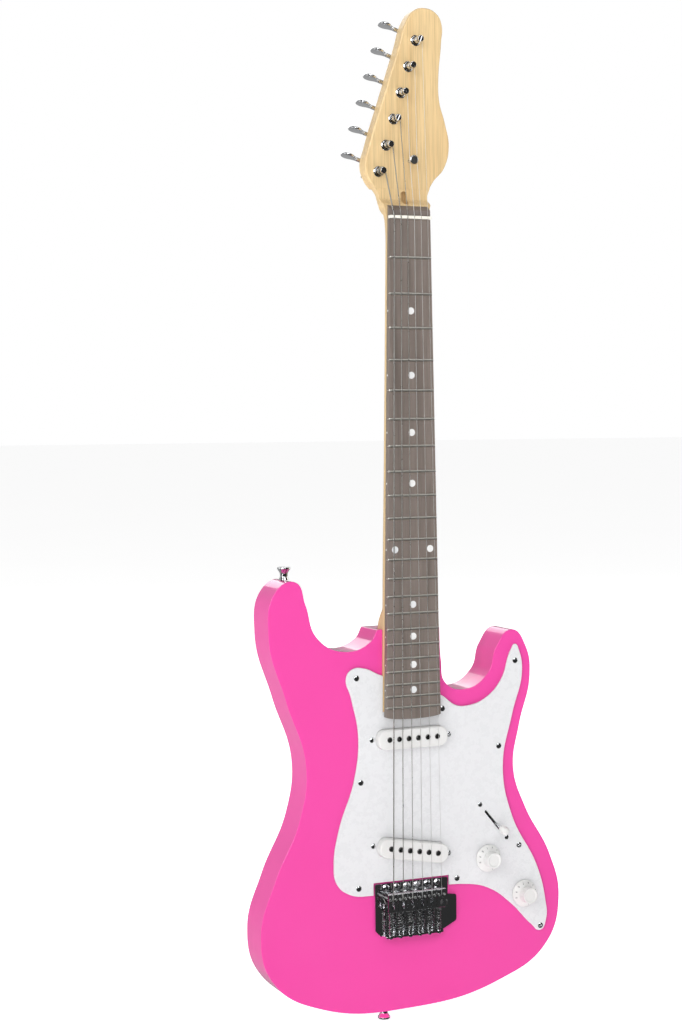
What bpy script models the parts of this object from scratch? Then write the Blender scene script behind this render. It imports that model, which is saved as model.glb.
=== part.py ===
"""Three-quarter size solid-body electric guitar with a six-screw tremolo bridge.

Metres. +Z runs up the neck to the head, the front faces -Y, and +X is the treble side.
The origin is on the string centre line, at the nut's front edge, level with the body's front face.
"""
import math

import bmesh
import bpy
from mathutils import Euler, Matrix, Vector

# ---------------------------------------------------------------- driving dimensions
GAP = 0.0003                 # clearance between pieces that touch
PAST = 0.002                 # how far a cutter runs past the face that it opens

SCALE_LENGTH = 0.614         # nut to saddles
FRET_COUNT = 22
NUT_WIDTH = 0.0405
LAST_FRET_WIDTH = 0.0545
BOARD_THICKNESS = 0.0057
BOARD_FRONT_Y = -0.0100      # playing face
BOARD_PAST_LAST_FRET = 0.0110
BOARD_BEHIND_NUT = 0.0125
BOARD_SLOPE_STARTS = 0.0080
BOARD_END_BULGE = 0.0030
FRET_WIDTH = 0.0022
FRET_HEIGHT = 0.0011
FRET_SUNK = 0.0003           # into the board
FRET_INSET = 0.0003          # from the board's edge
NUT_LENGTH = 0.0033
NUT_SLOT_DEPTH = 0.0040
NUT_STANDS = 0.0023          # above the board
NUT_NOTCH_WIDTH = 0.0018

NECK_BACK_FIRST_Y = 0.0100   # back of the neck at the nut
NECK_BACK_BODY_Y = 0.0125    # and where it meets the heel
HEEL_BACK_Y = 0.0157
HEEL_LENGTH = 0.0750
HEEL_RAMP = 0.0200
POCKET_END_PAST_LAST_FRET = 0.0040
TRUSS_RADIUS = 0.0022
TRUSS_Y = 0.0015
TRUSS_ACCESS_RADIUS = 0.0031
TRUSS_ACCESS_LENGTH = 0.0200
TRUSS_IN_HEEL = 0.0300
TRUSS_END_ROOM = 0.0010

HEAD_FACE_Y = 0.0030
HEAD_THICKNESS = 0.0140
HEAD_EDGE = 0.0010

STRING_COUNT = 6
STRING_SPREAD_NUT = 0.0335
STRING_SPREAD_SADDLE = 0.0490
STRING_RADII = (0.00015, 0.00020, 0.00025, 0.00035, 0.00045, 0.00058)   # treble to bass
STRING_OVER_FRET = 0.0004    # underside of a string over a fret's top, at the nut
SADDLE_CREST_Y = -0.0149

TUNER_PITCH = 0.0251
TUNER_ROW_TILT = math.radians(17.6)
TUNER_FIRST = (-0.0251, 0.0430)      # x and z of the post nearest the nut
POST_RADIUS = 0.0030
POST_TOP_Y = -0.0088
POST_WAIST_Y = -0.0045
POST_WAIST = 0.0007          # how far the post narrows where its string wraps
POST_WAIST_LENGTH = 0.0018   # to each side of the narrowest place
POST_HOLE_CLEARANCE = 0.0006
WORM_RADIUS = 0.0028
WORM_GAP = 0.0007            # between the worm and the post's gear
GEAR_THICKNESS = 0.0036
GEAR_END_ROOM = 0.00055      # between the gear and the housing's end wall
KEY_SHAFT_RADIUS = 0.0019
KEY_COLLAR_RADIUS = 0.0030
KEY_COLLAR_LENGTH = 0.0034
KEY_END_PLAY = 0.0006
KEY_REACH = 0.0316           # from the post's axis to the key's end
KEY_LENGTH = 0.0150
KEY_HEIGHT = 0.0170
KEY_THICKNESS = 0.0046
HOUSING_DEPTH = 0.0107
HOUSING_WALL = 0.0013
HOUSING_SPACING = 0.0029     # between one tuner's housing and the next
HOUSING_WIDTH = 0.0154

BODY_WIDTH = 0.3040
BODY_LENGTH = 0.3980
BODY_DEPTH = 0.0360
BODY_EDGE_RADIUS = 0.0060

GUARD_THICKNESS = 0.0023
GUARD_CHAMFER = 0.0009
PICKUP_LENGTH = 0.0700
PICKUP_WIDTH = 0.0182
PICKUP_EARS = 0.0860
PICKUP_WALL = 0.0014
PICKUP_EDGE = 0.0012
NECK_PICKUP_TOP_Y = -0.0095
BRIDGE_PICKUP_TOP_Y = -0.0105
PICKUP_FOOT_Y = 0.0032
POLE_RADIUS = 0.0023
POLE_STANDS = 0.0006
POLE_SPREAD = 0.0480
NECK_PICKUP_FROM_BOARD = 0.0180      # board end to the pickup's middle
BRIDGE_PICKUP_FROM_SADDLE = 0.0394
BRIDGE_PICKUP_SLANT = math.radians(10.0)
PICKUP_CAVITY_DEPTH = 0.0140
PICKUP_CAVITY_MARGIN = 0.0030
CONTROL_CAVITY_DEPTH = 0.0250
WIRE_CHANNEL_WIDTH = 0.0180
WIRE_CHANNEL_DEPTH = 0.0098
WIRE_CHANNEL_PAST_PICKUP = 0.0040

KNOB_RADIUS = 0.0127
KNOB_TOP_RADIUS = 0.0075
KNOB_HEIGHT = 0.0130
KNOB_CLEAR = 0.0008          # under the skirt
POT_RADIUS = 0.0080
POT_DEPTH = 0.0090
POT_BUSH_RADIUS = 0.0034
POT_BUSH_STANDS = 0.0022     # above the guard
POT_SHAFT_RADIUS = 0.0029
POT_SHAFT_TOP = 0.0095       # above the guard

SWITCH_TURN = math.radians(-39.9)    # of the slot, from straight down the body
SWITCH_BAR = (0.0500, 0.0130, 0.0016)
SWITCH_SLOT = (0.0270, 0.0030)
SWITCH_PIVOT_Y = 0.0100
SWITCH_SWING = math.radians(25.0)    # each side of the middle
SWITCH_CHEEK_GAP = 0.0060
SWITCH_CHEEK = 0.0014        # sheet of the two cheeks and the foot that joins them
SWITCH_CHEEK_LENGTH = 0.0260
SWITCH_FOOT_Y = 0.0070       # behind the lever's pivot
LEVER_HUB_RADIUS = 0.0045
LEVER_IN_TIP = 0.0040
LEVER_WIDTH = 0.0042
LEVER_THICKNESS = 0.0014
LEVER_REACH = 0.0190         # from the pivot to where the tip starts
TIP_LENGTH = 0.0100
TIP_RADIUS = 0.0041

PLATE_THICKNESS = 0.0022     # tremolo base plate
PLATE_HALF_WIDTH = 0.0370
PLATE_FRONT_FROM_SADDLE = 0.0105
PLATE_BACK_FROM_SADDLE = 0.0385
PLATE_FLANGE_HEIGHT = 0.0080
ARM_WING = (0.0090, 0.0055, 0.0330)  # width, and where it starts and ends behind the saddles
ARM_HOLE_RADIUS = 0.0030
ARM_HOLE_FROM_SADDLE = 0.0136
ARM_HOLE_FROM_EDGE = 0.0040
BLOCK_THICKNESS = 0.0120
BLOCK_HALF_WIDTH = 0.0330
BLOCK_FROM_BACK = 0.0075     # block's inner end to the body's back
BLOCK_SWING_ROOM = 0.0120
BLOCK_SIDE_ROOM = 0.0030
SADDLE_LENGTH = 0.0185
SADDLE_BODY_HEIGHT = 0.0085
SADDLE_LEG_RADIUS = 0.0013
SADDLE_SLOT = 0.0028
SPRING_COUNT = 3
SPRING_RADIUS = 0.0036
SPRING_PITCH = 0.0210
SPRING_CAVITY_DEPTH = 0.0135
SPRING_CAVITY_HALF_WIDTH = 0.0370
SPRING_CAVITY_LENGTH = 0.1090        # up-neck of the saddles
CLAW_HEIGHT = 0.0100
CLAW_THICKNESS = 0.0016

COVER_SIZE = (0.0960, 0.1390)
COVER_THICKNESS = 0.0018
COVER_CORNER = 0.0060
COVER_END_FROM_SADDLE = 0.0260
COVER_WINDOW = (0.0640, 0.0120)
NECK_PLATE_SIZE = (0.0510, 0.0640)
NECK_PLATE_THICKNESS = 0.0020
NECK_PLATE_CORNER = 0.0060

JACK_PLATE_SIZE = (0.0190, 0.0450)
JACK_PLATE_THICKNESS = 0.0015
JACK_PLATE_CORNER = 0.0040
JACK_SEAT_DEPTH = 0.0036
JACK_SEAT_ROOM = 0.0006      # round the plate
JACK_BORE_RADIUS = 0.00325
JACK_BARREL_RADIUS = 0.0047
JACK_NUT_RADIUS = 0.0065
JACK_SLEEVE_RADIUS = 0.0075
JACK_LENGTH = 0.0200
JACK_HOLE_RADIUS = 0.0095
JACK_HOLE_END = 0.1240       # x on the body where the hole opens into the control cavity

BUTTON_RADIUS = 0.0060
BUTTON_WAIST = 0.0034
BUTTON_HEIGHT = 0.0115
TREE_RADIUS = 0.0041
TREE_STEM_RADIUS = 0.0018
TREE_FROM_NUT = 0.0540
TREE_UNDER_Y = -0.0062
TREE_STRINGS = (1, 2)        # the string that the tree holds down on each side of it

# ---------------------------------------------------------------- places worked out from them


def fret_z(number):
    return -SCALE_LENGTH * (1 - 2 ** (-number / 12))


def board_half_width(z):
    """Half the board's width at height z; it widens evenly from the nut to the last fret."""
    share = z / fret_z(FRET_COUNT)
    return (NUT_WIDTH + (LAST_FRET_WIDTH - NUT_WIDTH) * share) / 2


def string_x(index, z):
    """Where a string (0 is the treble one) crosses height z on its way from the nut to its saddle."""
    share = -z / SCALE_LENGTH
    spread = STRING_SPREAD_NUT + (STRING_SPREAD_SADDLE - STRING_SPREAD_NUT) * share
    return spread * (0.5 - index / (STRING_COUNT - 1))


BOARD_BACK_Y = BOARD_FRONT_Y + BOARD_THICKNESS
NECK_FRONT_Y = BOARD_BACK_Y + GAP
BOARD_END_Z = fret_z(FRET_COUNT) - BOARD_PAST_LAST_FRET
POCKET_END_Z = fret_z(FRET_COUNT) - POCKET_END_PAST_LAST_FRET
HEEL_TOP_Z = POCKET_END_Z + HEEL_LENGTH
SADDLE_Z = -SCALE_LENGTH
HEAD_BACK_Y = HEAD_FACE_Y + HEAD_THICKNESS
WORM_Y = HEAD_BACK_Y + GAP + HOUSING_DEPTH / 2 - 0.0003
HOUSING_LENGTH = TUNER_PITCH - HOUSING_SPACING
# The housing's middle is halfway from the post to the worm, and the gear fills the end below.
POST_GEAR_RADIUS = (HOUSING_LENGTH / 2 - HOUSING_WALL - GEAR_END_ROOM - (WORM_RADIUS + WORM_GAP) / 2) / 1.5
WORM_OFFSET = POST_GEAR_RADIUS + WORM_RADIUS + WORM_GAP      # between a post's axis and its key's
GUARD_FRONT_Y = -GAP - GUARD_THICKNESS
PLATE_FRONT_Y = -GAP - PLATE_THICKNESS
STRING_FLOOR_NUT_Y = BOARD_FRONT_Y - FRET_HEIGHT - STRING_OVER_FRET
STRING_FLOOR_SADDLE_Y = SADDLE_CREST_Y - GAP
NECK_PICKUP_Z = BOARD_END_Z - NECK_PICKUP_FROM_BOARD
BRIDGE_PICKUP_Z = SADDLE_Z + BRIDGE_PICKUP_FROM_SADDLE
BODY_ANCHOR_Z = (POCKET_END_Z + SADDLE_Z) / 2

# The body's outline, x and z from the anchor, clockwise from the treble shoulder of the pocket.
BODY_OUTLINE = (
    (0.0315, 0.159, "corner"), (0.0330, 0.128), (0.0375, 0.1065), (0.0580, 0.0995), (0.0820, 0.1135),
    (0.0905, 0.1370), (0.1070, 0.1525), (0.1215, 0.1370), (0.1260, 0.1080), (0.1145, 0.0630),
    (0.1080, 0.0220), (0.1205, -0.0160), (0.1465, -0.0630), (0.1565, -0.1050), (0.1430, -0.1480),
    (0.0920, -0.1780), (0.0000, -0.1925), (-0.0900, -0.1825), (-0.1360, -0.1530), (-0.1475, -0.1100),
    (-0.1330, -0.0610), (-0.1085, -0.0070), (-0.1025, 0.0400), (-0.1210, 0.0990), (-0.1372, 0.1580),
    (-0.1290, 0.1990), (-0.1110, 0.2055), (-0.1015, 0.1850), (-0.0910, 0.1550), (-0.0660, 0.1410),
    (-0.0385, 0.1480), (-0.0315, 0.159, "corner"),
)
GUARD_OUTLINE = (
    (0.0311, 0.0963), (0.0476, 0.0853), (0.0603, 0.0845), (0.0779, 0.0904), (0.0940, 0.1060),
    (0.1050, 0.1340), (0.1094, 0.1390), (0.1135, 0.1330), (0.1165, 0.1120), (0.1061, 0.0742),
    (0.0957, 0.0249), (0.1053, -0.0228), (0.1316, -0.0726), (0.1404, -0.1051), (0.1413, -0.1250),
    (0.1350, -0.1350), (0.1250, -0.1280), (0.1048, -0.1071), (0.0800, -0.0890), (0.0560, -0.0828),
    (-0.0400, -0.0838), (-0.0620, -0.0805), (-0.0745, -0.0695), (-0.0773, -0.0520), (-0.0721, -0.0210),
    (-0.0563, 0.0244), (-0.0521, 0.0630), (-0.0591, 0.0994), (-0.0636, 0.1170), (-0.0580, 0.1245),
    (-0.0460, 0.1250), (-0.0309, 0.1185),
)
HEAD_OUTLINE = (
    (0.0222, 0.0120), (0.0240, 0.0240), (0.0300, 0.0360), (0.0410, 0.0485), (0.0464, 0.0684),
    (0.0425, 0.0900), (0.0370, 0.1090), (0.0362, 0.1300), (0.0392, 0.1620), (0.0398, 0.1790),
    (0.0345, 0.1885), (0.0220, 0.1928), (0.0110, 0.1893), (0.0035, 0.1790), (-0.0040, 0.1560),
    (-0.0198, 0.1090), (-0.0340, 0.0660), (-0.0383, 0.0480), (-0.0340, 0.0350), (-0.0255, 0.0240),
    (-0.0218, 0.0120),
)
CONTROL_CAVITY_OUTLINE = (
    (0.0560, 0.0060), (0.0900, 0.0060), (0.1120, -0.0400), (0.1300, -0.0900), (0.1290, -0.1130),
    (0.1180, -0.1130), (0.0620, -0.0760), (0.0480, -0.0400),
)
KNOB_PLACES = ((0.0790, -0.0603), (0.1170, -0.0975))
SWITCH_PLACE = (0.0850, -0.0259)

COLOURS = {
    "pink_lacquer": ((0.94, 0.10, 0.45), 0.0, 0.15),
    "maple": ((0.80, 0.62, 0.38), 0.0, 0.35),
    "rosewood": ((0.10, 0.06, 0.05), 0.0, 0.5),
    "bone_plastic": ((0.90, 0.88, 0.80), 0.0, 0.4),
    "white_plastic": ((0.88, 0.88, 0.88), 0.0, 0.3),
    "chrome": ((0.80, 0.80, 0.82), 1.0, 0.12),
    "steel": ((0.62, 0.62, 0.62), 1.0, 0.35),
    "dark_plastic": ((0.05, 0.05, 0.05), 0.0, 0.45),
    "black_paint": ((0.03, 0.03, 0.03), 0.2, 0.35),
}
FACE_FRONT = (math.pi / 2, 0.0, 0.0)     # turns a piece's own +Z to face -Y
AUTO_SMOOTH = math.radians(35)


# ---------------------------------------------------------------- scene and materials
def clear_scene():
    for obj in list(bpy.data.objects):
        bpy.data.objects.remove(obj, do_unlink=True)


def new_collection(name):
    collection = bpy.data.collections.new(name)
    bpy.context.scene.collection.children.link(collection)
    return collection


def material(name):
    found = bpy.data.materials.get(name)
    if found:
        return found
    colour, metallic, roughness = COLOURS[name]
    made = bpy.data.materials.new(name)
    made.use_nodes = True
    shader = made.node_tree.nodes["Principled BSDF"]
    shader.inputs["Base Color"].default_value = (*colour, 1.0)
    shader.inputs["Metallic"].default_value = metallic
    shader.inputs["Roughness"].default_value = roughness
    made.diffuse_color = (*colour, 1.0)
    return made


def move_to(obj, collection):
    for old in list(obj.users_collection):
        old.objects.unlink(obj)
    collection.objects.link(obj)


def finish_part(obj, name, material_name, parent=None):
    """Names a piece, gives it its material and puts it in the guitar's collection."""
    obj.name = name
    obj.data.materials.clear()
    obj.data.materials.append(material(material_name))
    move_to(obj, guitar)
    if parent:
        obj.parent = parent
    if obj.type == "MESH":
        obj.data.shade_smooth()
        obj.data.set_sharp_from_angle(angle=AUTO_SMOOTH)
    return obj


def helper(obj, name="cutter", parent=None):
    obj.name = name
    obj.hide_render = True
    obj.display_type = "WIRE"
    move_to(obj, cutters)
    if parent:
        obj.parent = parent
    return obj


def frame_empty(name, location, turn=0.0):
    """An empty that carries pieces, turned about Y by an angle."""
    empty = bpy.data.objects.new(name, None)
    empty.location = location
    empty.rotation_euler = (0.0, turn, 0.0)
    empty.empty_display_size = 0.01
    guitar.objects.link(empty)
    return empty


# ---------------------------------------------------------------- modelling tools
def box(low, high):
    low, high = Vector(low), Vector(high)
    bpy.ops.mesh.primitive_cube_add(size=1.0, location=(low + high) / 2)
    obj = bpy.context.object
    obj.scale = high - low
    bpy.ops.object.transform_apply(location=True, rotation=True, scale=True)
    return obj


def cylinder(centre, radius, length, axis="Y", sides=16):
    turn = {"X": (0.0, math.pi / 2, 0.0), "Y": (math.pi / 2, 0.0, 0.0), "Z": (0.0, 0.0, 0.0)}[axis]
    bpy.ops.mesh.primitive_cylinder_add(
        vertices=sides, radius=radius, depth=length, location=centre, rotation=turn)
    bpy.ops.object.transform_apply(location=True, rotation=True, scale=True)
    return bpy.context.object


def mesh_from(obj):
    """The evaluated object as a plain mesh object with its seams welded; the source is removed."""
    bpy.context.view_layer.update()
    graph = bpy.context.evaluated_depsgraph_get()
    mesh = bpy.data.meshes.new_from_object(obj.evaluated_get(graph))
    work = bmesh.new()
    work.from_mesh(mesh)
    bmesh.ops.remove_doubles(work, verts=work.verts, dist=1e-6)
    bmesh.ops.recalc_face_normals(work, faces=work.faces)
    work.to_mesh(mesh)
    work.free()
    made = bpy.data.objects.new(obj.name, mesh)
    made.matrix_world = obj.matrix_world
    bpy.context.scene.collection.objects.link(made)
    bpy.data.objects.remove(obj, do_unlink=True)
    bpy.context.view_layer.objects.active = made
    return made


def flat_curve(points, thickness, smooth, steps):
    """A closed 2D outline, filled on both sides and extruded; its own X and Y hold the points."""
    data = bpy.data.curves.new("outline", "CURVE")
    data.dimensions = "2D"
    data.fill_mode = "BOTH"
    data.extrude = thickness / 2
    data.resolution_u = steps
    spline = data.splines.new("BEZIER")
    spline.bezier_points.add(len(points) - 1)
    for knot, point in zip(spline.bezier_points, points):
        knot.co = (point[0], point[1], 0.0)
        kind = "AUTO" if smooth and len(point) == 2 else "VECTOR"
        knot.handle_left_type = kind
        knot.handle_right_type = kind
    spline.use_cyclic_u = True
    obj = bpy.data.objects.new("outline", data)
    bpy.context.scene.collection.objects.link(obj)
    return obj


SLAB_TURNS = {
    "Y": Matrix(((1, 0, 0), (0, 0, -1), (0, 1, 0))),    # outline in x and z
    "X": Matrix(((0, 0, 1), (1, 0, 0), (0, 1, 0))),     # outline in y and z
}


def slab(points, low, high, along="Y", smooth=False, steps=6):
    """An outline made solid between two levels of one axis."""
    obj = flat_curve(points, high - low, smooth, steps if smooth else 1)
    made = mesh_from(obj)
    turn = SLAB_TURNS[along].to_4x4()
    middle = (low + high) / 2
    shift = (0.0, middle, 0.0) if along == "Y" else (middle, 0.0, 0.0)
    made.data.transform(Matrix.Translation(shift) @ turn)
    return made


def turned(profile, steps=16):
    """A solid of revolution about Z. The profile is (radius, height) pairs, from the top of the
    axis or bore, down the outer side, to the bottom."""
    mesh = bpy.data.meshes.new("profile")
    mesh.from_pydata([(radius, 0.0, height) for radius, height in profile],
                     [(i, i + 1) for i in range(len(profile) - 1)], [])
    obj = bpy.data.objects.new("profile", mesh)
    bpy.context.scene.collection.objects.link(obj)
    screw = obj.modifiers.new("turn", "SCREW")
    screw.steps = steps
    screw.render_steps = steps
    screw.use_merge_vertices = True
    screw.merge_threshold = 1e-5
    return mesh_from(obj)


def rounded_rectangle(width, height, corner, segments=4):
    points = []
    for quarter in range(4):
        turn = quarter * math.pi / 2
        side_x = (1, -1, -1, 1)[quarter] * (width / 2 - corner)
        side_y = (1, 1, -1, -1)[quarter] * (height / 2 - corner)
        for step in range(segments + 1):
            angle = turn + step / segments * math.pi / 2
            points.append((side_x + corner * math.cos(angle), side_y + corner * math.sin(angle)))
    return points


def shifted(points, x, z):
    return [(p[0] + x, p[1] + z, *p[2:]) for p in points]


def loft(rings):
    """A closed skin through rings that each have the same number of points."""
    work = bmesh.new()
    loops = [[work.verts.new(point) for point in ring] for ring in rings]
    count = len(rings[0])
    for lower, upper in zip(loops, loops[1:]):
        for i in range(count):
            j = (i + 1) % count
            work.faces.new((lower[i], lower[j], upper[j], upper[i]))
    work.faces.new(loops[0])
    work.faces.new(loops[-1])
    bmesh.ops.recalc_face_normals(work, faces=work.faces)
    mesh = bpy.data.meshes.new("loft")
    work.to_mesh(mesh)
    work.free()
    obj = bpy.data.objects.new("loft", mesh)
    bpy.context.scene.collection.objects.link(obj)
    return obj


def place(obj, location=(0.0, 0.0, 0.0), rotation=(0.0, 0.0, 0.0)):
    """Moves a piece's own mesh, so that its origin stays where its parent puts it."""
    obj.data.transform(Matrix.Translation(location) @ Euler(rotation).to_matrix().to_4x4())
    return obj


def boolean(target, other, operation):
    modifier = target.modifiers.new(operation.lower(), "BOOLEAN")
    modifier.operation = operation
    modifier.solver = "EXACT"
    modifier.object = other
    return target


def cut(target, other, parent=None):
    return boolean(target, helper(other, target.name + "_cutter", parent), "DIFFERENCE")


def join(target, other, parent=None):
    return boolean(target, helper(other, target.name + "_joined", parent), "UNION")


def bevel(target, width, segments=1, angle=50.0):
    modifier = target.modifiers.new("bevel", "BEVEL")
    modifier.width = width
    modifier.segments = segments
    modifier.limit_method = "ANGLE"
    modifier.angle_limit = math.radians(angle)
    return target


# ---------------------------------------------------------------- body
DRAWN_WIDTH = max(p[0] for p in BODY_OUTLINE) - min(p[0] for p in BODY_OUTLINE)
DRAWN_LENGTH = max(p[1] for p in BODY_OUTLINE) - min(p[1] for p in BODY_OUTLINE)


def on_body(x, z):
    """A place on the body, drawn from its anchor, stretched with the body's width and length."""
    return x * BODY_WIDTH / DRAWN_WIDTH, BODY_ANCHOR_Z + z * BODY_LENGTH / DRAWN_LENGTH


def drawn_on_body(points):
    return [(*on_body(p[0], p[1]), *p[2:]) for p in points]


def slanted(points, turn, x, z):
    """Points turned in the x-z plane, counter-clockwise as seen from the front, then moved."""
    c, s = math.cos(turn), math.sin(turn)
    return [(x + c * p[0] - s * p[1], z + s * p[0] + c * p[1]) for p in points]


def pocket_outline(clearance):
    top, end = HEEL_TOP_Z + 0.03, POCKET_END_Z - clearance + GAP
    wide_top, wide_end = board_half_width(top) + clearance, board_half_width(end) + clearance
    return [(-wide_top, top), (wide_top, top), (wide_end, end), (-wide_end, end)]


def pickup_cavity(x, z, slant):
    length = PICKUP_EARS + 2 * PICKUP_CAVITY_MARGIN
    width = PICKUP_WIDTH + 2 * PICKUP_CAVITY_MARGIN
    outline = rounded_rectangle(length, width, width / 4, 2)
    return slab(slanted(outline, slant, x, z), -PAST, PICKUP_CAVITY_DEPTH)


def make_body():
    """The body with its neck pocket, cavities, tremolo slot and jack seat. Also returns the
    outline's extreme points, which the strap buttons and the jack use."""
    body = slab(drawn_on_body(BODY_OUTLINE), 0.0, BODY_DEPTH, smooth=True, steps=5)
    points = [v.co.copy() for v in body.data.vertices]
    treble = max(points, key=lambda p: p.x)
    horn = max((p for p in points if p.x < 0), key=lambda p: p.z)
    tail = min(points, key=lambda p: p.z)
    bevel(body, BODY_EDGE_RADIUS, segments=3)
    cut(body, slab(pocket_outline(GAP), -PAST, HEEL_BACK_Y + GAP))
    cut(body, pickup_cavity(0.0, NECK_PICKUP_Z, 0.0))
    cut(body, pickup_cavity(0.0, BRIDGE_PICKUP_Z, -BRIDGE_PICKUP_SLANT))
    cut(body, slab(drawn_on_body(CONTROL_CAVITY_OUTLINE), -PAST, CONTROL_CAVITY_DEPTH))
    channel_x = PICKUP_EARS / 2 - PAST
    cut(body, box((channel_x, -PAST, BRIDGE_PICKUP_Z - WIRE_CHANNEL_PAST_PICKUP),
                  (channel_x + WIRE_CHANNEL_WIDTH, WIRE_CHANNEL_DEPTH, NECK_PICKUP_Z)))
    slot_half = BLOCK_HALF_WIDTH + BLOCK_SIDE_ROOM
    slot_front = SADDLE_Z + PLATE_FRONT_FROM_SADDLE - 0.0005
    slot_back = SADDLE_Z - BLOCK_THICKNESS / 2 - BLOCK_SWING_ROOM
    cut(body, box((-slot_half, -PAST, slot_back), (slot_half, BODY_DEPTH + PAST, slot_front)))
    cut(body, box((-SPRING_CAVITY_HALF_WIDTH, BODY_DEPTH - SPRING_CAVITY_DEPTH, slot_back - 0.001),
                  (SPRING_CAVITY_HALF_WIDTH, BODY_DEPTH + PAST, SADDLE_Z + SPRING_CAVITY_LENGTH)))
    seat_x = treble.x - JACK_SEAT_DEPTH
    width, length = (side + 2 * JACK_SEAT_ROOM for side in JACK_PLATE_SIZE)
    recess = shifted(rounded_rectangle(width, length, JACK_PLATE_CORNER), BODY_DEPTH / 2, treble.z)
    cut(body, slab(recess, seat_x, treble.x + PAST, along="X"))
    hole_end = on_body(JACK_HOLE_END, 0.0)[0]
    cut(body, cylinder(((hole_end + treble.x) / 2, BODY_DEPTH / 2, treble.z), JACK_HOLE_RADIUS,
                       treble.x - hole_end, axis="X", sides=20))
    finish_part(body, "body", "pink_lacquer")
    return body, Vector((seat_x, BODY_DEPTH / 2, treble.z)), horn, tail


# ---------------------------------------------------------------- neck
def neck_section(half_width, front_y, back_y, squareness, z, points=16):
    """A flat front and a rounded back; a high squareness fills the back's corners."""
    ring = []
    for i in range(points + 1):
        angle = math.pi * i / points
        across, deep = math.cos(angle), math.sin(angle)
        x = half_width * math.copysign(abs(across) ** (2 / squareness), across)
        ring.append((x, front_y + (back_y - front_y) * deep ** (2 / squareness), z))
    return ring


def neck_rings():
    """(z, half width or None for the board's, front, back, squareness) from the heel to the head."""
    front = NECK_FRONT_Y
    inside = 0.0005
    stations = [
        (POCKET_END_Z + GAP, None, front, HEEL_BACK_Y, 9.0),
        (HEEL_TOP_Z - 0.0020, None, front, HEEL_BACK_Y, 9.0),
        (HEEL_TOP_Z + HEEL_RAMP * 0.35, None, front, HEEL_BACK_Y * 0.6 + NECK_BACK_BODY_Y * 0.4, 4.5),
        (HEEL_TOP_Z + HEEL_RAMP, None, front, NECK_BACK_BODY_Y, 2.7),
        (HEEL_TOP_Z * 0.5, None, front, (NECK_BACK_BODY_Y + NECK_BACK_FIRST_Y) / 2, 2.4),
        (-0.0220, None, front, NECK_BACK_FIRST_Y, 2.3),
        (-0.0100, None, front, NECK_BACK_FIRST_Y + 0.0008, 2.4),
        (0.0020, None, front, NECK_BACK_FIRST_Y + 0.0030, 3.0),
        (0.0090, 0.0210, front, HEAD_BACK_Y - 0.0012, 5.0),
        (BOARD_BEHIND_NUT, 0.0216, front, HEAD_BACK_Y - inside / 2, 8.0),
        (BOARD_BEHIND_NUT + 0.0030, 0.0216, front + 0.0040, HEAD_BACK_Y - inside / 2, 9.0),
        (BOARD_BEHIND_NUT + 0.0070, 0.0216, HEAD_FACE_Y + inside, HEAD_BACK_Y - inside, 9.0),
        (BOARD_BEHIND_NUT + 0.0170, 0.0190, HEAD_FACE_Y + 4 * inside, HEAD_BACK_Y - 4 * inside, 9.0),
    ]
    return [neck_section(half or board_half_width(z), front_y, back_y, squareness, z)
            for z, half, front_y, back_y, squareness in stations]


def post_place(string):
    """x and z of a string's tuner post; the bass string's post is nearest the nut."""
    steps = STRING_COUNT - 1 - string
    return (TUNER_FIRST[0] + steps * TUNER_PITCH * math.sin(TUNER_ROW_TILT),
            TUNER_FIRST[1] + steps * TUNER_PITCH * math.cos(TUNER_ROW_TILT))


def make_neck():
    neck = loft(neck_rings())
    head = bevel(slab(HEAD_OUTLINE, HEAD_FACE_Y, HEAD_BACK_Y, smooth=True, steps=4), HEAD_EDGE)
    join(neck, head)
    for string in range(STRING_COUNT):
        x, z = post_place(string)
        cut(neck, cylinder((x, (HEAD_FACE_Y + HEAD_BACK_Y) / 2, z), POST_RADIUS + POST_HOLE_CLEARANCE,
                           HEAD_THICKNESS + 2 * PAST, sides=12))
    channel = TRUSS_RADIUS + GAP
    cut(neck, box((-channel, NECK_FRONT_Y - PAST, HEEL_TOP_Z - TRUSS_IN_HEEL),
                  (channel, TRUSS_Y + channel, BOARD_BEHIND_NUT - 0.0006)))
    cut(neck, cylinder((0.0, HEAD_FACE_Y - 0.0008, BOARD_BEHIND_NUT + 0.009), TRUSS_ACCESS_RADIUS,
                       TRUSS_ACCESS_LENGTH, axis="Z", sides=14))
    return finish_part(neck, "neck", "maple")


def make_truss_rod():
    low, high = HEEL_TOP_Z - TRUSS_IN_HEEL + TRUSS_END_ROOM, BOARD_BEHIND_NUT - 3 * TRUSS_END_ROOM
    rod = cylinder((0.0, TRUSS_Y, (low + high) / 2), TRUSS_RADIUS, high - low, axis="Z", sides=12)
    return finish_part(rod, "truss_rod", "steel")


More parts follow.
